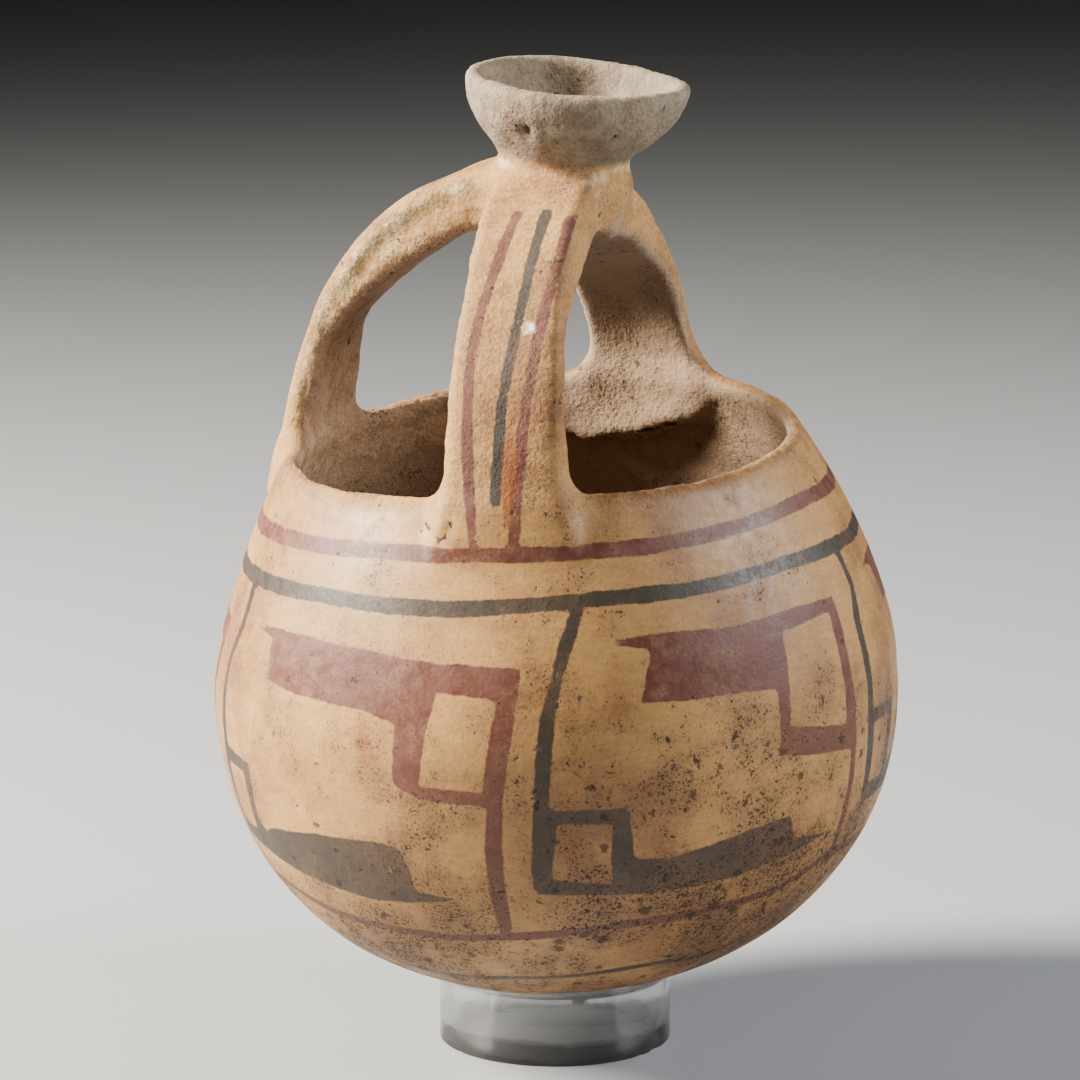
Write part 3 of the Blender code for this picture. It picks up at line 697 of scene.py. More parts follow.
    def cup(self, x, y, z):
        """The cup, leaning and drawn out to a slight lip on its right."""
        across, deep, height = self.in_cup(x, y, z)
        share = eased(height / (0.7 * CUP_HEIGHT))
        radius = np.hypot(across, deep)
        right = np.clip(across / np.maximum(radius, 1e-6), 0, 1)
        drawn_in = CUP_DRAWN_IN * right**2 * np.clip(1 - height / CUP_HEIGHT, 0, 1)
        lip = CUP_LIP / self.sizes.cup_radius * share * right**6
        return self.cup_solid.field(radius * (1 + drawn_in) / (1 + lip), height)

    def whole(self, x, y, z):
        """Distance to the finished jar, negative in the clay."""
        field = self.body(x, y, z)
        upper = z > self.sizes.rim_height - FOOT_DEPTH - 15 * MM
        above = (x[upper], y[upper], z[upper])
        straps = self.straps["front"].field(*above)
        for side in ("left", "right"):
            straps = merged(straps, self.straps[side].field(*above), CROWN_BLEND)
        straps = merged(straps, self.crown(*above), CROWN_BLEND)
        walls = merged(field[upper], self.ledge(*above), LEDGE_BLEND)
        fading = FOOT_BLEND * np.clip((above[2] - self.sizes.rim_height + FOOT_DEPTH) / FOOT_DEPTH, 0.05, 1)
        field[upper] = merged(merged(walls, straps, fading), self.cup(*above), CUP_BLEND)
        return field

    def slopes(self, points):
        """Which way is straight out of the clay at each point."""
        step = 0.3 * MM
        out = np.zeros(points.shape)
        for axis in range(3):
            shift = np.eye(3)[axis] * step
            out[:, axis] = self.whole(*(points + shift).T) - self.whole(*(points - shift).T)
        return out / np.maximum(np.linalg.norm(out, axis=1, keepdims=True), 1e-9)


def settled(field):
    """The field with a corner turned over wherever its surface would touch itself."""
    for _ in range(TURNING_ROUNDS):
        for axis in range(3):
            flat = np.moveaxis(field, axis, 0)
            inside = flat < 0
            a, b, c, d = inside[:, :-1, :-1], inside[:, 1:, :-1], inside[:, 1:, 1:], inside[:, :-1, 1:]
            for i, j, k in np.argwhere((a == c) & (b == d) & (a != b)):
                square = [(i, j, k), (i, j + 1, k), (i, j + 1, k + 1), (i, j, k + 1)]
                flat[min(square, key=lambda place: abs(flat[place]))] *= -1
    return field


def skin(field, corner, step):
    """Points and four-sided faces of the surface on which a field on a grid is zero."""
    inside = field < 0
    count = np.zeros([n - 1 for n in field.shape], dtype=np.int8)
    for i in (0, 1):
        for j in (0, 1):
            for k in (0, 1):
                count += inside[i : i + count.shape[0], j : j + count.shape[1], k : k + count.shape[2]]
    cells = np.argwhere((count > 0) & (count < 8))
    number = np.full(count.shape, -1)
    number[tuple(cells.T)] = np.arange(len(cells))
    total = np.zeros((len(cells), 3))
    hits = np.zeros(len(cells))
    faces = []
    for axis in range(3):
        second, third = (axis + 1) % 3, (axis + 2) % 3
        along = np.eye(3, dtype=int)[axis]
        for a in (0, 1):
            for b in (0, 1):
                start = np.zeros(3, dtype=int)
                start[second], start[third] = a, b
                here = field[tuple((cells + start).T)]
                there = field[tuple((cells + start + along).T)]
                crosses = (here < 0) != (there < 0)
                share = here[crosses] / (here[crosses] - there[crosses])
                total[crosses] += start + share[:, None] * along
                hits[crosses] += 1
        low = np.moveaxis(inside, axis, 0)[:-1]
        high = np.moveaxis(inside, axis, 0)[1:]
        edges = np.argwhere(np.moveaxis(low != high, 0, axis))
        around = []
        for a, b in ((-1, -1), (0, -1), (0, 0), (-1, 0)):
            shift = np.zeros(3, dtype=int)
            shift[second], shift[third] = a, b
            around.append(number[tuple((edges + shift).T)])
        quads = np.stack(around, axis=1)
        outwards = inside[tuple(edges.T)]
        faces.append(np.where(outwards[:, None], quads, quads[:, ::-1]))
    return corner + step * (cells + total / hits[:, None]), np.concatenate(faces)


def evened(points, faces, form):
    """The skin's points spread evenly and brought back exactly onto the clay's surface."""
    edges = np.concatenate([faces[:, [0, 1]], faces[:, [1, 2]], faces[:, [2, 3]], faces[:, [3, 0]]])
    ends = np.bincount(edges[:, 0], minlength=len(points))
    for _ in range(EVENING_ROUNDS):
        sums = [np.bincount(edges[:, 0], points[edges[:, 1], axis], len(points)) for axis in range(3)]
        points = points + 0.6 * (np.stack(sums, axis=1) / ends[:, None] - points)
        out = form.slopes(points)
        points = points - out * form.whole(*points.T)[:, None]
    return points


def clay_noise(points, size, seed):
    """Smooth noise from about -1 to 1, with features of this size in mm."""
    places = points / (size * MM) + seed * 17.3
    return np.array([noise.noise(place) for place in places.tolist()])


class Places:
    """Where each point of the skin is on the jar, in the terms that a potter or painter would use."""

    def __init__(self, form, points, out):
        x, y, z = points.T
        self.points = points
        share = form.shoulder_share(z)
        self.azimuth = np.degrees(np.arctan2(y, x - MOUTH_SHIFT * share)) % 360
        self.height = (z - form.rim_wander(np.radians(self.azimuth)) * share) / MM
        radius = np.hypot(x - MOUTH_SHIFT * share, y)
        rim = form.sizes.rim_height
        within_wall = radius < form.radius_at(np.minimum(z, rim)) - 2.3 * MM
        self.inside = within_wall & (z > 3 * MM) & (z < rim + 4 * MM)
        self.body = form.body(x, y, z)
        self.cup = np.clip(1 - form.cup(x, y, z) / (1.2 * MM), 0, 1)
        self.cup_place = form.in_cup(x, y, z)
        self.cup_clay = self.cup * eased((self.cup_place[2] + 1.5 * MM) / (4.5 * MM))
        nearest = np.full(len(points), np.inf)
        self.strap = np.full(len(points), "none", dtype=object)
        self.strap_side = np.zeros(len(points))
        self.facing = np.zeros(len(points))
        self.strap_depth = np.zeros(len(points))
        for side, bar in form.straps.items():
            away = bar.field(x, y, z)
            nearer = away < nearest
            nearest[nearer] = away[nearer]
            self.strap[nearer] = side
            self.strap_side[nearer] = bar.side(x, y)[nearer] / MM
            self.strap_depth[nearer] = bar.depth(x, y, z)[nearer] / MM
            self.facing[nearer] = (out[:, 0] * bar.way.x + out[:, 1] * bar.way.y + 0.9 * out[:, 2])[nearer]
        self.on_strap = np.clip(1.6 - nearest / (1.5 * MM), 0, 1) * (z > rim - 6 * MM) * (1 - self.cup)
        self.wall_run = self.wall_runs(form)
        self.pitted = np.zeros(len(points))

    def wall_runs(self, form):
        """Length along the outside from the belly, in mm, so that brush widths stay true lower down."""
        heights = np.linspace(0.5 * MM, form.sizes.rim_height * 1.02, 400)
        radii = form.radius_at(heights)
        runs = np.concatenate([[0.0], np.cumsum(np.hypot(np.diff(heights), np.diff(radii)))])
        runs -= np.interp(form.sizes.belly_height, heights, runs)
        self.run_table = (heights / MM, runs / MM)
        return np.interp(self.height, *self.run_table)

    def mark(self, azimuth, height, half_width, half_height, tilt):
        """1 in the middle of an oval mark on the outside, 0.75 at its edge, then falling to 0."""
        across, up = self.turned_from(azimuth), self.wall_run - self.run_of(height)
        cos, sin = math.cos(math.radians(tilt)), math.sin(math.radians(tilt))
        away = np.hypot((across * cos + up * sin) / half_width, (up * cos - across * sin) / half_height)
        return np.clip(1 - away / 4, 0, 1) * (1 - self.inside)

    def run_of(self, height):
        return float(np.interp(height, *self.run_table))

    def turned_from(self, azimuth):
        """Paint's own sideways measure, in mm, from an azimuth."""
        return ((self.azimuth - azimuth + 180) % 360 - 180) * math.radians(1) * PAINT_RADIUS


def area_edge(places, azimuth, corners, middle):
    """Distance to a painted area's edge in mm, negative inside it."""
    across = places.turned_from(azimuth + middle)
    degree = math.radians(1) * PAINT_RADIUS
    line = [((turn - middle) * degree, places.run_of(height)) for turn, height in corners]
    away, _ = nearest_on(line + line[:1], across, places.wall_run)
    away[is_within(line, across, places.wall_run)] *= -1
    return away


def line_edge(places, azimuth, line, middle):
    """Distance to the edge of a painted line of one brush width."""
    width, spots = line
    across = places.turned_from(azimuth + middle)
    degree = math.radians(1) * PAINT_RADIUS
    away, _ = nearest_on(
        [((turn - middle) * degree, places.run_of(height)) for turn, height in spots], across, places.wall_run
    )
    return away - width / 2


def band_edge(places, band):
    """Distance to the edge of a band that runs round the jar."""
    width, spots = band
    azimuths = [spot[0] for spot in spots]
    runs = [places.run_of(spot[1]) for spot in spots]
    closes = azimuths[-1] - azimuths[0] > 180
    turned = (places.azimuth - azimuths[0]) % 360 + azimuths[0]
    if closes:
        azimuths.append(azimuths[0] + 360)
        runs.append(runs[0])
    edge = np.abs(places.wall_run - np.interp(turned, azimuths, runs)) - width / 2
    return edge if closes else np.maximum(edge, (turned - azimuths[-1]) * 1.2)


def painted(places):
    """How far each point is from red and from black paint, in mm, negative where it is painted."""
    red = np.minimum(band_edge(places, RED_BAND), band_edge(places, RED_FOOT_LINE))
    black = np.minimum(band_edge(places, BLACK_BAND), band_edge(places, DARK_FOOT_LINE) + 0.25)
    for panel, azimuth in PANELS:
        for colour in ("red", "black"):
            area = area_edge(places, azimuth, panel[colour], PANEL_MIDDLE)
            area = np.maximum(area, -area_edge(places, azimuth, panel[colour + "_eye"], PANEL_MIDDLE))
            area = np.minimum(area, line_edge(places, azimuth, panel[colour + "_line"], PANEL_MIDDLE))
            if colour == "red":
                red = np.minimum(red, area)
            else:
                black = np.minimum(black, area)
    off_wall = np.where(places.inside, 9.0, 0.0) + np.clip(places.body / MM - 2.5, 0, 9)
    red, black = np.maximum(red, off_wall - 1), np.maximum(black, off_wall - 1)
    z = places.points[:, 2] / MM
    for colour, width, spots in STRIPES:
        heights, sides = [spot[0] for spot in spots], [spot[1] for spot in spots]
        shift = sum((places.strap == strap) * right for strap, right in STRIPE_SHIFT.items())
        edge = np.abs(places.strap_side - shift - np.interp(z, heights, sides)) - width / 2
        edge = np.maximum.reduce([edge, heights[0] - z, z - heights[-1], (0.25 - places.facing) * 4])
        edge = np.where(places.strap == "none", 9.0, edge) + 9.0 * places.inside
        edge = np.maximum(edge, np.abs(places.strap_side) - 16)
        if colour == "red":
            red = np.minimum(red, edge)
        else:
            black = np.minimum(black, edge)
    return np.clip(red, -4, 9), np.clip(black, -4, 9)


def crack_edge(places):
    """Distance in mm from the nearest crack round the front strap's foot."""
    away = np.full(len(places.height), 9.0)
    degree = math.radians(1) * PAINT_RADIUS
    across = places.turned_from(262)
    for path in CRACKS:
        line = [((azimuth - 262) * degree, places.run_of(height)) for azimuth, height in path]
        away = np.minimum(away, nearest_on(line, across, places.wall_run)[0])
    return np.where(places.inside, 9.0, away)


def smear_edge(places):
    """Height in mm over the lower edge of the clay smeared under the right strap, and where it shows."""
    azimuths, heights = zip(*SMEAR_EDGE)
    edge = np.interp(places.azimuth, azimuths, heights)
    ends = (places.azimuth - azimuths[0]) / 4, (azimuths[-1] - places.azimuth) / 6
    return places.height - edge, places.inside * eased(np.minimum(*ends))


def handwork(form, places):
    """How far the hand-made surface stands out from the even form, in mm, and where it is bare or chalky."""
    points = places.points
    slow = clay_noise(points, 30, 1) * 0.42 + clay_noise(points, 13, 2) * 0.16
    fingers = clay_noise(points, 9, 3)
    small = clay_noise(points, 4.2, 4)
    grit = clay_noise(points, 2.4, 5)
    wiped = clay_noise(points * np.array(WIPED_STRETCH), 9, 6)
    strap = places.on_strap
    beside = strap * np.clip(1.6 - np.abs(places.facing) / 0.4, 0, 1)
    beside *= eased((points[:, 2] - form.sizes.rim_height) / (9 * MM))
    under = strap * np.clip(-places.facing / 0.5, 0, 1)
    bare = np.clip(places.inside + under, 0, 1)
    relief = slow + fingers * 0.05 + wiped * 0.05
    relief += bare * (fingers * 0.3 + small * 0.1 + grit * 0.04)
    relief += places.inside * wiped * 0.22
    relief += strap * fingers * 0.16
    relief += beside * (small * 0.25 + grit * 0.2)
    relief += places.cup * (fingers * 0.26 + small * 0.18 + grit * 0.12)

    # Nobody could reach the straps, the crown and the lip with the rubbing pebble
    crown = np.linalg.norm(points - np.array(form.crown_centre()), axis=1)
    unrubbed = np.maximum(strap * eased((places.height - 112) / 14), eased(1.8 - crown / (15 * MM)))
    unrubbed = np.maximum(unrubbed, eased((places.height - 114.5) / 3) * (places.body < 2.5 * MM))
    unrubbed = np.maximum(unrubbed, places.cup)
    relief += unrubbed * (small * 0.05 + grit * 0.05 + fingers * 0.08)

    # The straps' sides were folded over and not smoothed: a ridge, then a long groove
    wander = places.strap_depth + fingers * 0.8
    fold = 0.35 * np.exp(-(((wander - 2.4) / 1.3) ** 2)) - 0.8 * np.exp(-(((wander - 5.2) / 1.7) ** 2))
    uneven = np.clip(0.75 + clay_noise(points, 11, 9) * 0.7, 0.1, 1.4)
    folded = beside * uneven * eased((crown / MM - 14) / 12) * np.where(places.strap == "left", 0.8, 0.3)
    relief += folded * fold
    chalk = beside * uneven * np.exp(-(((wander - 3.0) / 2.2) ** 2))
    chalk *= np.where(places.strap == "left", 0.5, 0.45)
    chalk += beside * 0.45 * (places.strap == "left")
    waist = np.exp(-(((places.cup_place[2] / MM + fingers * 1.2) / 1.8) ** 2)) * (crown < 24 * MM)
    chalk = np.maximum(chalk, waist * np.clip(0.5 + small * 0.8, 0, 0.9))

    # The smeared clay under the right strap ends in a thin lip with a crack below it
    over, along = smear_edge(places)
    over = over + fingers * 0.7
    lip = np.exp(-((over / 3.5) ** 2)) * (over > 0)
    relief += 0.8 * along * (lip - np.exp(-(((over + 0.7) / 0.8) ** 2)))

    cup_x, cup_y, cup_height = places.cup_place
    out = np.hypot(cup_x, cup_y) / CUP_BELLY_RADIUS
    outside = places.cup * (out > 0.7)
    for azimuth, height, radius, depth in CUP_PITS:
        turn = math.radians(azimuth)
        across = cup_x / out - CUP_BELLY_RADIUS * math.cos(turn)
        deep = cup_y / out - CUP_BELLY_RADIUS * math.sin(turn)
        away = np.hypot(np.hypot(across, deep), cup_height - height * MM) / MM / radius
        relief -= depth * outside * eased(1.3 - away)
        places.pitted = np.maximum(places.pitted, outside * np.clip(1 - away / 2.2, 0, 1))
    for gouge in GOUGES:
        relief -= 0.9 * np.clip(places.mark(*gouge) - 0.5, 0, 1)
    relief -= 0.5 * np.clip(1.2 - crack_edge(places) / 0.9, 0, 1)
    return relief, bare, chalk, unrubbed


def density_of_specks(places):
    """Where dark specks gather: low on the jar, most of all on its lower right."""
    low_down = eased((70 - places.height) / 45)
    lowest = eased((42 - places.height) / 18)
    rightward = eased(0.5 + np.cos(np.radians(places.azimuth - 312)) * 0.9)
    rising = eased((88 - places.height) / 30) * rightward
    drift = clay_noise(places.points, 16, 8)
    turned = (places.azimuth - 302 + 180) % 360 - 180
    thickest = np.exp(-((turned / 24) ** 2) - ((places.height - 34) / 9) ** 2)
    drifts = np.exp(-((turned / 26) ** 2) - ((places.height - 56) / 16) ** 2)
    even = 0.38 + 0.12 * low_down + 0.18 * lowest + 0.16 * rising
    left = (places.azimuth - 243 + 180) % 360 - 180
    clouded = np.exp(-((left / 20) ** 2) - ((places.height - 58) / 14) ** 2)
    return np.clip(even + 0.4 * thickest + 0.26 * drifts + 0.18 * clouded + 0.28 * drift, 0, 1)


def leaning():
    """Where the upright jar stands once it leans in its ring."""
    near = Matrix.Rotation(math.radians(JAR_LEAN_NEAR), 4, "X")
    return near @ Matrix.Rotation(-math.radians(JAR_LEAN_LEFT), 4, "Y")


def seat_height(form, lean, ring):
    """How high the belly's centre stands when the leaning base rests on the ring."""
    belly = form.sizes.belly_height
    levels, turns = 300, 72
    lowest = 0.0
    for i in range(1, levels):
        drop = -belly * (1 - (i / levels) ** 2 / 2)
        radius = float(form.radius_at(belly + drop))
        for k in range(turns):
            azimuth = 2 * math.pi * k / turns
            point = lean @ Vector((radius * math.cos(azimuth), radius * math.sin(azimuth), drop))
            if ring.radius - RING_WALL <= math.hypot(point.x, point.y) <= ring.radius:
                lowest = min(lowest, point.z)
    return ring.height + SEAT_GAP - lowest


def keep_on_points(mesh, name, values):
    """Keep one number for each point of the mesh, for the material to read."""
    kept = mesh.attributes.new(name, "FLOAT", "POINT")
    kept.data.foreach_set("value", np.asarray(values, dtype=np.float32))


def add_node(tree, kind, inputs=(), give=0, **settings):
    """Add a node with its settings, feed its inputs values or sockets, and give back one output's socket.

    The inputs are a list in the order of the node's sockets, or a dict by their names or places.
    """
    node = tree.nodes.new("ShaderNode" + kind)
    for name, value in settings.items():
        setattr(node, name, value)
    for place, value in inputs.items() if isinstance(inputs, dict) else enumerate(inputs):
        if isinstance(value, bpy.types.NodeSocket):
            tree.links.new(value, node.inputs[place])
        else:
            node.inputs[place].default_value = value
    return node.outputs[give]


def new_material(name, shader_values):
    """A material with its shader's own sockets set."""
    made = bpy.data.materials.new(name)
    made.use_nodes = True
    shader = made.node_tree.nodes["Principled BSDF"]
    for socket, value in shader_values.items():
        shader.inputs[socket].default_value = value
    return made, made.node_tree, shader


def per_metre(size):
    """A noise texture's scale for features of this size in mm."""
    return 1000 / size


def weighed(tree, parts, total=0.0):
    """A sum of patterns, each times its weight."""
    for pattern, weight in parts:
        total = add_node(tree, "Math", [pattern, weight, total], operation="MULTIPLY_ADD")
    return total


def clay_patterns(tree, where):
    """All patterns and shares of the earthenware by name, with the noise centred on 0."""
    found = {name: add_node(tree, "Attribute", attribute_name=name, give="Fac") for name in KEPT}
    rubbed = add_node(tree, "Mapping", {"Vector": where, "Scale": RUBBED_STRETCH})
    for name, (size, detail, roughness) in CLAY_PATTERNS.items():
        place = rubbed if name == "streaks" else where
        noise_values = {"Vector": place, "Scale": per_metre(size), "Detail": detail, "Roughness": roughness}
        found[name] = weighed(tree, [(add_node(tree, "TexNoise", noise_values), 1.0)], -0.5)
    pores = {"Vector": where, "Scale": per_metre(PORE_SPACING), "Randomness": 1.0}
    found["pore"] = add_node(tree, "TexVoronoi", pores, give="Distance")
    found["pick"] = add_node(tree, "SeparateColor", [add_node(tree, "TexVoronoi", pores, give="Color")])
    for name, (weights, *limits) in SHARES.items():
        total = weighed(tree, [(found[pattern], weight) for pattern, weight in weights.items()])
        found[name] = add_node(tree, "MapRange", [total, *limits], interpolation_type="SMOOTHSTEP")
    for name, (first, second) in PRODUCTS.items():
        found[name] = add_node(tree, "Math", [found[first], found.get(second, second)], operation="MULTIPLY")
    for name, (first, *others) in GREATEST.items():
        found[name] = found[first]
        for other in others:
            found[name] = add_node(tree, "Math", [found[name], found[other]], operation="MAXIMUM")
    return found


def painted_earthenware(finish):
    """Low-fired earthenware: slipped, painted with red and black earths, rubbed with a pebble, then fired.

    To the eye: a warm cream skin with a soft sheen, paint that is part of the skin and worn thin in places,
    the red with a painted purplish sheen in patches, dark specks where dirt sits in burnt-out pores, and dull
    gritty clay where no slip was put. Painted shade darkens the clay down inside the jar, under the right
    strap, in the gouges, cracks and cup pits, and under the lip of the smeared clay.
    """
    made, tree, shader = new_material(
        "burnished_painted_earthenware", {"IOR": 1.5, "Metallic": 0.0, "Specular IOR Level": 0.32}
    )
    found = clay_patterns(tree, add_node(tree, "TexCoord", give="Object"))
    hues = {name: tuple(getattr(finish, name)) for name in PotteryJarFinish.__annotations__}
    # The red with its painted purplish sheen in patches
    thinned = {0: found["red_thin_and_sheen"], 6: hues["red_paint"], 7: hues["red_paint_thin"]}
    hues["red_earth_with_sheen"] = add_node(tree, "Mix", thinned, give=2, data_type="RGBA")
    for name, (low, high) in TONES.items():
        hues[name] = add_node(tree, "Mix", {0: found[name], 6: low, 7: high}, give=2, data_type="RGBA")
    for name in ("bare_clay", "cup_clay"):
        both = {0: 1.0, 6: hues[name], 7: hues["gritty"]}
        hues[name] = add_node(tree, "Mix", both, give=2, data_type="RGBA", blend_type="MULTIPLY")

    # Coats from the slip outwards: how it is laid, how much of it shows, and its colour. Slip goes from cream
    # to fired orange in broad clouds, paint is worn thin and the red has a painted purplish sheen, dirt lies
    # over all, and painted shade goes down inside the jar, under the right strap and into the hollows
    colour = hues["slip"]
    for way, share, hue in (
        ("MIX", found["fired"], "slip_fired"),
        ("MIX", found["fired_mottle"], "slip_fired"),
        ("MULTIPLY", 1.0, "rubbed"),
        ("MULTIPLY", found["dusty_cover"], "dusty"),
        ("MIX", found["red_cover"], "red_earth_with_sheen"),
        ("MIX", found["black_cover"], "black_paint"),
        ("MIX", found["bare_clay"], "bare_clay"),
        ("MIX", found["cup_clay"], "cup_clay"),
        ("MIX", found["inside_shade_cover"], "shade_inside"),
        ("MIX", found["chalky"], "chalky_clay"),
        ("MIX", found["knocked"], "knocked_clay"),
        ("MIX", found["stained"], "stain"),
        ("MIX", found["grime"], "grime"),
        ("MIX", found["dark"], "soot_and_hollow_shade"),
    ):
        coat = {0: share, 6: colour, 7: hues[hue]}
        colour = add_node(tree, "Mix", coat, give=2, data_type="RGBA", blend_type=way)
    tree.links.new(colour, shader.inputs["Base Color"])

    # Sheen: rubbed slip 0.42 to 0.6, bare clay and the cup dull, specks duller
    rough = weighed(tree, [(found["dull"], 0.34), (found["dark"], 0.2)], found["sheen"])
    tree.links.new(rough, shader.inputs["Roughness"])

    # Touch: grit under 1 mm everywhere, stronger on bare clay; the larger specks are tiny pits
    grit = weighed(tree, [(found["mottle"], 1.0), (found["grains"], 0.6)], 0.8)
    coarse = weighed(tree, [(found["unslipped"], 0.8)], 0.2)
    height = weighed(tree, [(grit, coarse), (found["pits_and_hollow_shade"], -0.3)])
    bump = add_node(tree, "Bump", {"Height": height, "Strength": 0.7, "Distance": 0.7 * MM})
    tree.links.new(bump, shader.inputs["Normal"])
    return made


def clear_acrylic(settings):
    """Cast acrylic tube, sawn to a short length, its cut ends polished by hand and since a little chipped.

    To the eye: bright, nearly colourless walls with sharp reflections, cut ends that catch the light, and a
    dark smoky band along the foot.
    """
    made, tree, shader = new_material(
        "cast_clear_acrylic", {"IOR": 1.49, "Metallic": 0.0, "Transmission Weight": 1.0, "Alpha": 0.65}
    )
    where = add_node(tree, "TexCoord", give="Object")
    worn = add_node(tree, "TexNoise", {"Vector": where, "Scale": per_metre(2.5), "Detail": 3.0})
    rubbed = add_node(tree, "MapRange", [worn, 0.45, 0.75, 0.02, 0.16])
    tree.links.new(rubbed, shader.inputs["Roughness"])
    height = add_node(tree, "SeparateXYZ", [where], give="Z")
    uneven = add_node(tree, "TexNoise", {"Vector": where, "Scale": per_metre(9), "Detail": 2.0})
    edge = weighed(tree, [(height, 1.0), (uneven, 2.0 * MM)], -1.0 * MM)
    low_band = add_node(tree, "MapRange", [edge, 4.5 * MM, 5.0 * MM, 0.95, 0.0])
    bands = {0: low_band, 6: tuple(settings.tint), 7: tuple(settings.low_band)}
    colour = add_node(tree, "Mix", bands, give=2, data_type="RGBA")
    tree.links.new(colour, shader.inputs["Base Color"])
    drawn = add_node(tree, "Mapping", {"Vector": where, "Scale": (1, 1, 9)})
    scratches = add_node(tree, "TexNoise", {"Vector": drawn, "Scale": per_metre(6), "Detail": 2.0})
    bump = add_node(tree, "Bump", {"Height": scratches, "Strength": 0.1, "Distance": 0.2 * MM})
    tree.links.new(bump, shader.inputs["Normal"])
    return made


def painted_board(settings):
    """Smooth board painted matt, as photographers use: even, pale and without sheen."""
    made, tree, shader = new_material("matt_painted_board", {"Metallic": 0.0, "IOR": 1.45})
    where = add_node(tree, "TexCoord", give="Object")
    pale = tuple(settings.floor)
    uneven = add_node(tree, "TexNoise", {"Vector": where, "Scale": per_metre(60), "Detail": 3.0})
    shades = {0: uneven, 6: tuple(v * 0.98 for v in pale[:3]) + (1.0,), 7: pale}
    tree.links.new(add_node(tree, "Mix", shades, give=2, data_type="RGBA"), shader.inputs["Base Color"])
    roller = add_node(tree, "TexNoise", {"Vector": where, "Scale": per_metre(1.5), "Detail": 2.0})
    matt = add_node(tree, "MapRange", [roller, 0.3, 0.7, 0.62, 0.72])
    tree.links.new(matt, shader.inputs["Roughness"])
    return made


def new_piece(name, points, faces, material):
    """A smooth-shaded piece whose points are already in place."""
    mesh = bpy.data.meshes.new(name)
    mesh.from_pydata(np.asarray(points).tolist(), [], np.asarray(faces).tolist())
    mesh.materials.append(material)
    mesh.shade_smooth()
    made = bpy.data.objects.new(name, mesh)
    bpy.context.scene.collection.objects.link(made)
    return made


class POTTERY_OT_jar(Operator):
    """Build the clay jar with its straps and cup, and paint it"""

    bl_idname = "pottery.jar"
    bl_label = "Jar"

    def execute(self, context):
        sizes, finish = context.scene.pottery_sizes, context.scene.pottery_finish
        form = JarForm(sizes)
        margin = 4 * SKIN_GRAIN
        top = sizes.rim_height + CROWN_HEIGHT + CROWN_THICKNESS / 2 + CUP_HEIGHT + sizes.cup_radius * 0.3
        low = np.array([-sizes.belly_radius - margin, -sizes.belly_radius - margin, -margin])
        high = np.array([sizes.belly_radius + margin, sizes.belly_radius + margin, top + margin])
        sides = [np.arange(a, b, SKIN_GRAIN) for a, b in zip(low, high)]
        field = form.whole(*np.meshgrid(*sides, indexing="ij"))
        points, faces = skin(settled(field), low, SKIN_GRAIN)
        points = evened(points, faces, form)
        out = form.slopes(points)
        places = Places(form, points, out)
        relief, bare, chalk, unrubbed = handwork(form, places)
        red, black = painted(places)
        shaped = points + out * (relief * MM)[:, None]

        lean = leaning()
        stand = Matrix.Translation((0, 0, seat_height(form, lean, context.scene.clear_ring))) @ lean
        stand = np.array(stand @ Matrix.Translation((0, 0, -sizes.belly_height)))
        placed = shaped @ stand[:3, :3].T + stand[:3, 3]
        box_low, box_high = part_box("jar")
        placed = np.clip(placed, np.array(box_low), np.array(box_high))

        made = new_piece("clay_jar", placed, faces, painted_earthenware(finish))
        z = points[:, 2] / MM
        on_front = (places.strap == "front") * places.on_strap * (places.facing > 0.3)
        flake = 2.1 - np.hypot(places.strap_side - FLAKE[0], z - FLAKE[1])
        dribble = 1.9 - np.hypot((places.strap_side - DRIBBLE[0]) / 1.3, (z - DRIBBLE[1]) / 8.0)
        smears = sum(np.clip(places.mark(*smear) * 2 - 1, 0, 1) for smear in SMEARS)
        # Painted shade: the clay is darkened down inside the jar, below the rim
        deep = places.inside * eased((109 - places.height) / 5)
        gouges = sum(places.mark(*gouge) for gouge in GOUGES)
        cracks = np.clip(1 - crack_edge(places) / 1.6, 0, 1)
        over, along = smear_edge(places)
        # Painted shadow in the gap under the lip of the smeared clay
        shadow_under_smear = along * np.clip(1 - np.abs(over + 0.5) / 1.8, 0, 1) * (places.azimuth < 68)
        kept = {
            "red_edge": red,
            "black_edge": black,
            "bare": bare,
            "cup": places.cup_clay,
            "unrubbed": unrubbed,
            # Painted shade: down inside the jar and on the clay under the right strap
            "inside": np.maximum(deep, 1.6 * bare * (places.strap == "right")),
            "specks": density_of_specks(places) + 0.12 * bare - 0.05 * places.cup,
            "chalk": np.maximum(chalk, on_front * np.clip(flake, 0, 1.8)),
            "stain": np.clip(np.maximum(smears, on_front * np.clip(dribble, 0, 1.3)), 0, 1.2),
            # Painted shade in the gouges, cracks, cup pits and under the smeared clay's lip
            "hollow": np.maximum.reduce([gouges, cracks, places.pitted, shadow_under_smear]),
        }
        for name in KEPT:
            keep_on_points(made.data, name, kept[name])
        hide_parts("jar")
        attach(made, "root")
        return {"FINISHED"}


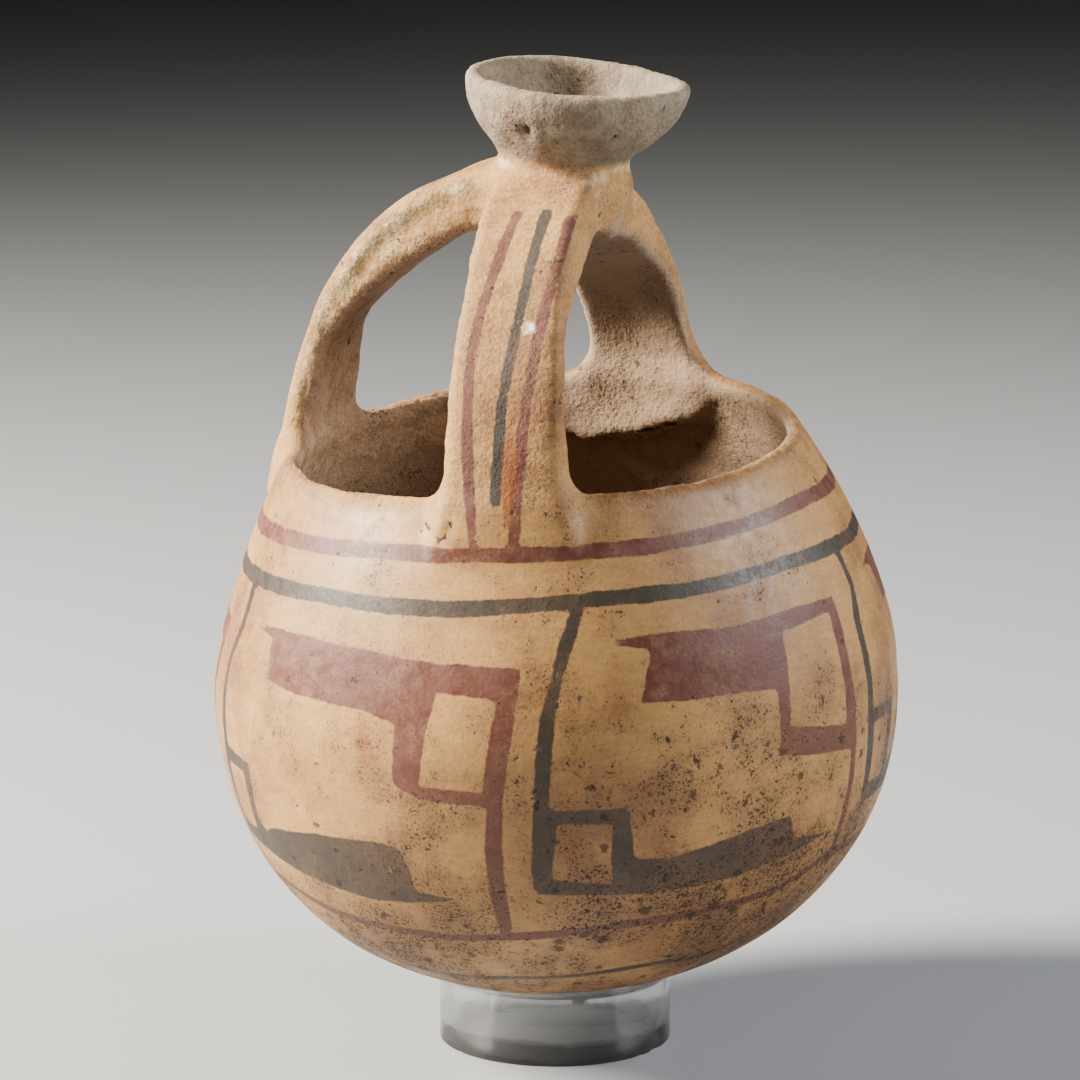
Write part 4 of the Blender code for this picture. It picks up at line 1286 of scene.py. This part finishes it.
class POTTERY_OT_ring(Operator):
    """Build the slice of clear tube that the round base rests in"""

    bl_idname = "pottery.ring"
    bl_label = "Clear Ring"

    def execute(self, context):
        settings = context.scene.clear_ring
        outer, inner, tall = settings.radius, settings.radius - RING_WALL, settings.height
        levels = np.linspace(RING_EDGE, tall - RING_EDGE, RING_LEVELS)
        across = np.linspace(outer - RING_EDGE, inner + RING_EDGE, 4)
        outline = [(outer, z) for z in levels] + [(r, tall) for r in across]
        outline += [(inner, z) for z in levels[::-1]] + [(r, 0.0) for r in across[::-1]]
        outline = np.array(outline)
        turns = np.radians(np.arange(0, 360, 360 / RING_SIDES))
        radius, turn = outline[:, 0][None, :], turns[:, None]
        height = np.broadcast_to(outline[:, 1], (len(turns), len(outline)))
        points = np.stack([radius * np.cos(turn), radius * np.sin(turn), height], axis=2).reshape(-1, 3)
        heart = np.stack([np.cos(turn), np.sin(turn)], axis=2) * (outer + inner) / 2
        heart = np.broadcast_to(heart, (len(turns), len(outline), 2)).reshape(-1, 2)
        for azimuth, z, size, depth in RING_CHIPS:
            chipped = math.radians(azimuth)
            middle = (outer * math.cos(chipped), outer * math.sin(chipped), z * MM)
            away = np.linalg.norm(points - middle, axis=1) / (size * MM)
            share = (depth * MM / RING_WALL * 2 * eased(1 - away))[:, None]
            points[:, :2] += (heart - points[:, :2]) * share
            points[:, 2] += (z * MM > tall / 2) * -CHIP_DROP * share[:, 0] * RING_WALL * (away < 1)
        points[:, 2] = np.clip(points[:, 2], 0.0, tall)
        count = len(outline)
        faces = []
        for k in range(len(turns)):
            n = (k + 1) % len(turns)
            for i in range(count):
                j = (i + 1) % count
                faces.append((k * count + i, n * count + i, n * count + j, k * count + j))
        made = new_piece("clear_ring", points, faces, clear_acrylic(settings))
        made.data.set_sharp_from_angle(angle=math.radians(RING_SHARP))
        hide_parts("ring_stand")
        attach(made, "root")
        return {"FINISHED"}


class POTTERY_OT_studio(Operator):
    """Set the floor, the soft lights and the camera"""

    bl_idname = "pottery.studio"
    bl_label = "Studio"

    def execute(self, context):
        settings = context.scene.jar_stage
        corners = [(x * FLOOR_HALF, y * FLOOR_HALF, 0) for x, y in ((-1, -1), (1, -1), (1, 1), (-1, 1))]
        floor = new_piece("floor", corners, [(0, 1, 2, 3)], painted_board(settings))

        for name, (place, target, width, colour) in LIGHTS.items():
            self.add_light(name, place, target, width, getattr(settings, name + "_power"), colour)

        world = bpy.data.worlds.new("studio_air")
        world.use_nodes = True
        background = world.node_tree.nodes["Background"]
        background.inputs["Color"].default_value = (1, 1, 1, 1)
        background.inputs["Strength"].default_value = AIR_GLOW
        context.scene.world = world

        lens = bpy.data.cameras.new("camera")
        lens.sensor_width = SENSOR_WIDTH
        lens.lens = FOCAL_LENGTH
        camera = bpy.data.objects.new("camera", lens)
        camera.location = (0.0, -settings.camera_distance, settings.camera_height)
        camera.rotation_euler = (math.radians(CAMERA_TILT), 0.0, math.radians(CAMERA_TURN))
        context.scene.collection.objects.link(camera)
        context.scene.camera = camera
        return {"FINISHED"}

    def add_light(self, name, place, target, width, power, colour):
        lamp = bpy.data.lights.new(name, "AREA")
        lamp.shape = "DISK"
        lamp.size = width
        lamp.energy = power
        lamp.color = colour
        made = bpy.data.objects.new(name, lamp)
        made.location = place
        made.rotation_euler = (Vector(target) - Vector(place)).to_track_quat("-Z", "Y").to_euler()
        bpy.context.scene.collection.objects.link(made)


class POTTERY_PT_panel(Panel):
    """Sizes and colours of the jar, and the buttons that build it"""

    bl_idname = "POTTERY_PT_panel"
    bl_label = "Pottery Jar"
    bl_space_type = "VIEW_3D"
    bl_region_type = "UI"
    bl_category = "Pottery Jar"

    def draw(self, context):
        groups = (
            (context.scene.pottery_sizes, None),
            (context.scene.pottery_finish, POTTERY_OT_jar),
            (context.scene.clear_ring, POTTERY_OT_ring),
            (context.scene.jar_stage, POTTERY_OT_studio),
        )
        for settings, operator in groups:
            column = self.layout.column()
            for name in settings.__annotations__:
                column.prop(settings, name)
            if operator:
                column.operator(operator.bl_idname)


CLASSES = (
    PotteryJarSizes,
    PotteryJarFinish,
    ClearRingSettings,
    JarStageSettings,
    POTTERY_OT_jar,
    POTTERY_OT_ring,
    POTTERY_OT_studio,
    POTTERY_PT_panel,
)


def register():
    for made in CLASSES:
        bpy.utils.register_class(made)
    bpy.types.Scene.pottery_sizes = PointerProperty(type=PotteryJarSizes)
    bpy.types.Scene.pottery_finish = PointerProperty(type=PotteryJarFinish)
    bpy.types.Scene.clear_ring = PointerProperty(type=ClearRingSettings)
    bpy.types.Scene.jar_stage = PointerProperty(type=JarStageSettings)


def unregister():
    del bpy.types.Scene.pottery_sizes
    del bpy.types.Scene.pottery_finish
    del bpy.types.Scene.clear_ring
    del bpy.types.Scene.jar_stage
    for made in reversed(CLASSES):
        bpy.utils.unregister_class(made)


def main():
    register()
    bpy.ops.pottery.jar()
    bpy.ops.pottery.ring()
    bpy.ops.pottery.studio()


if __name__ == "__main__":
    main()
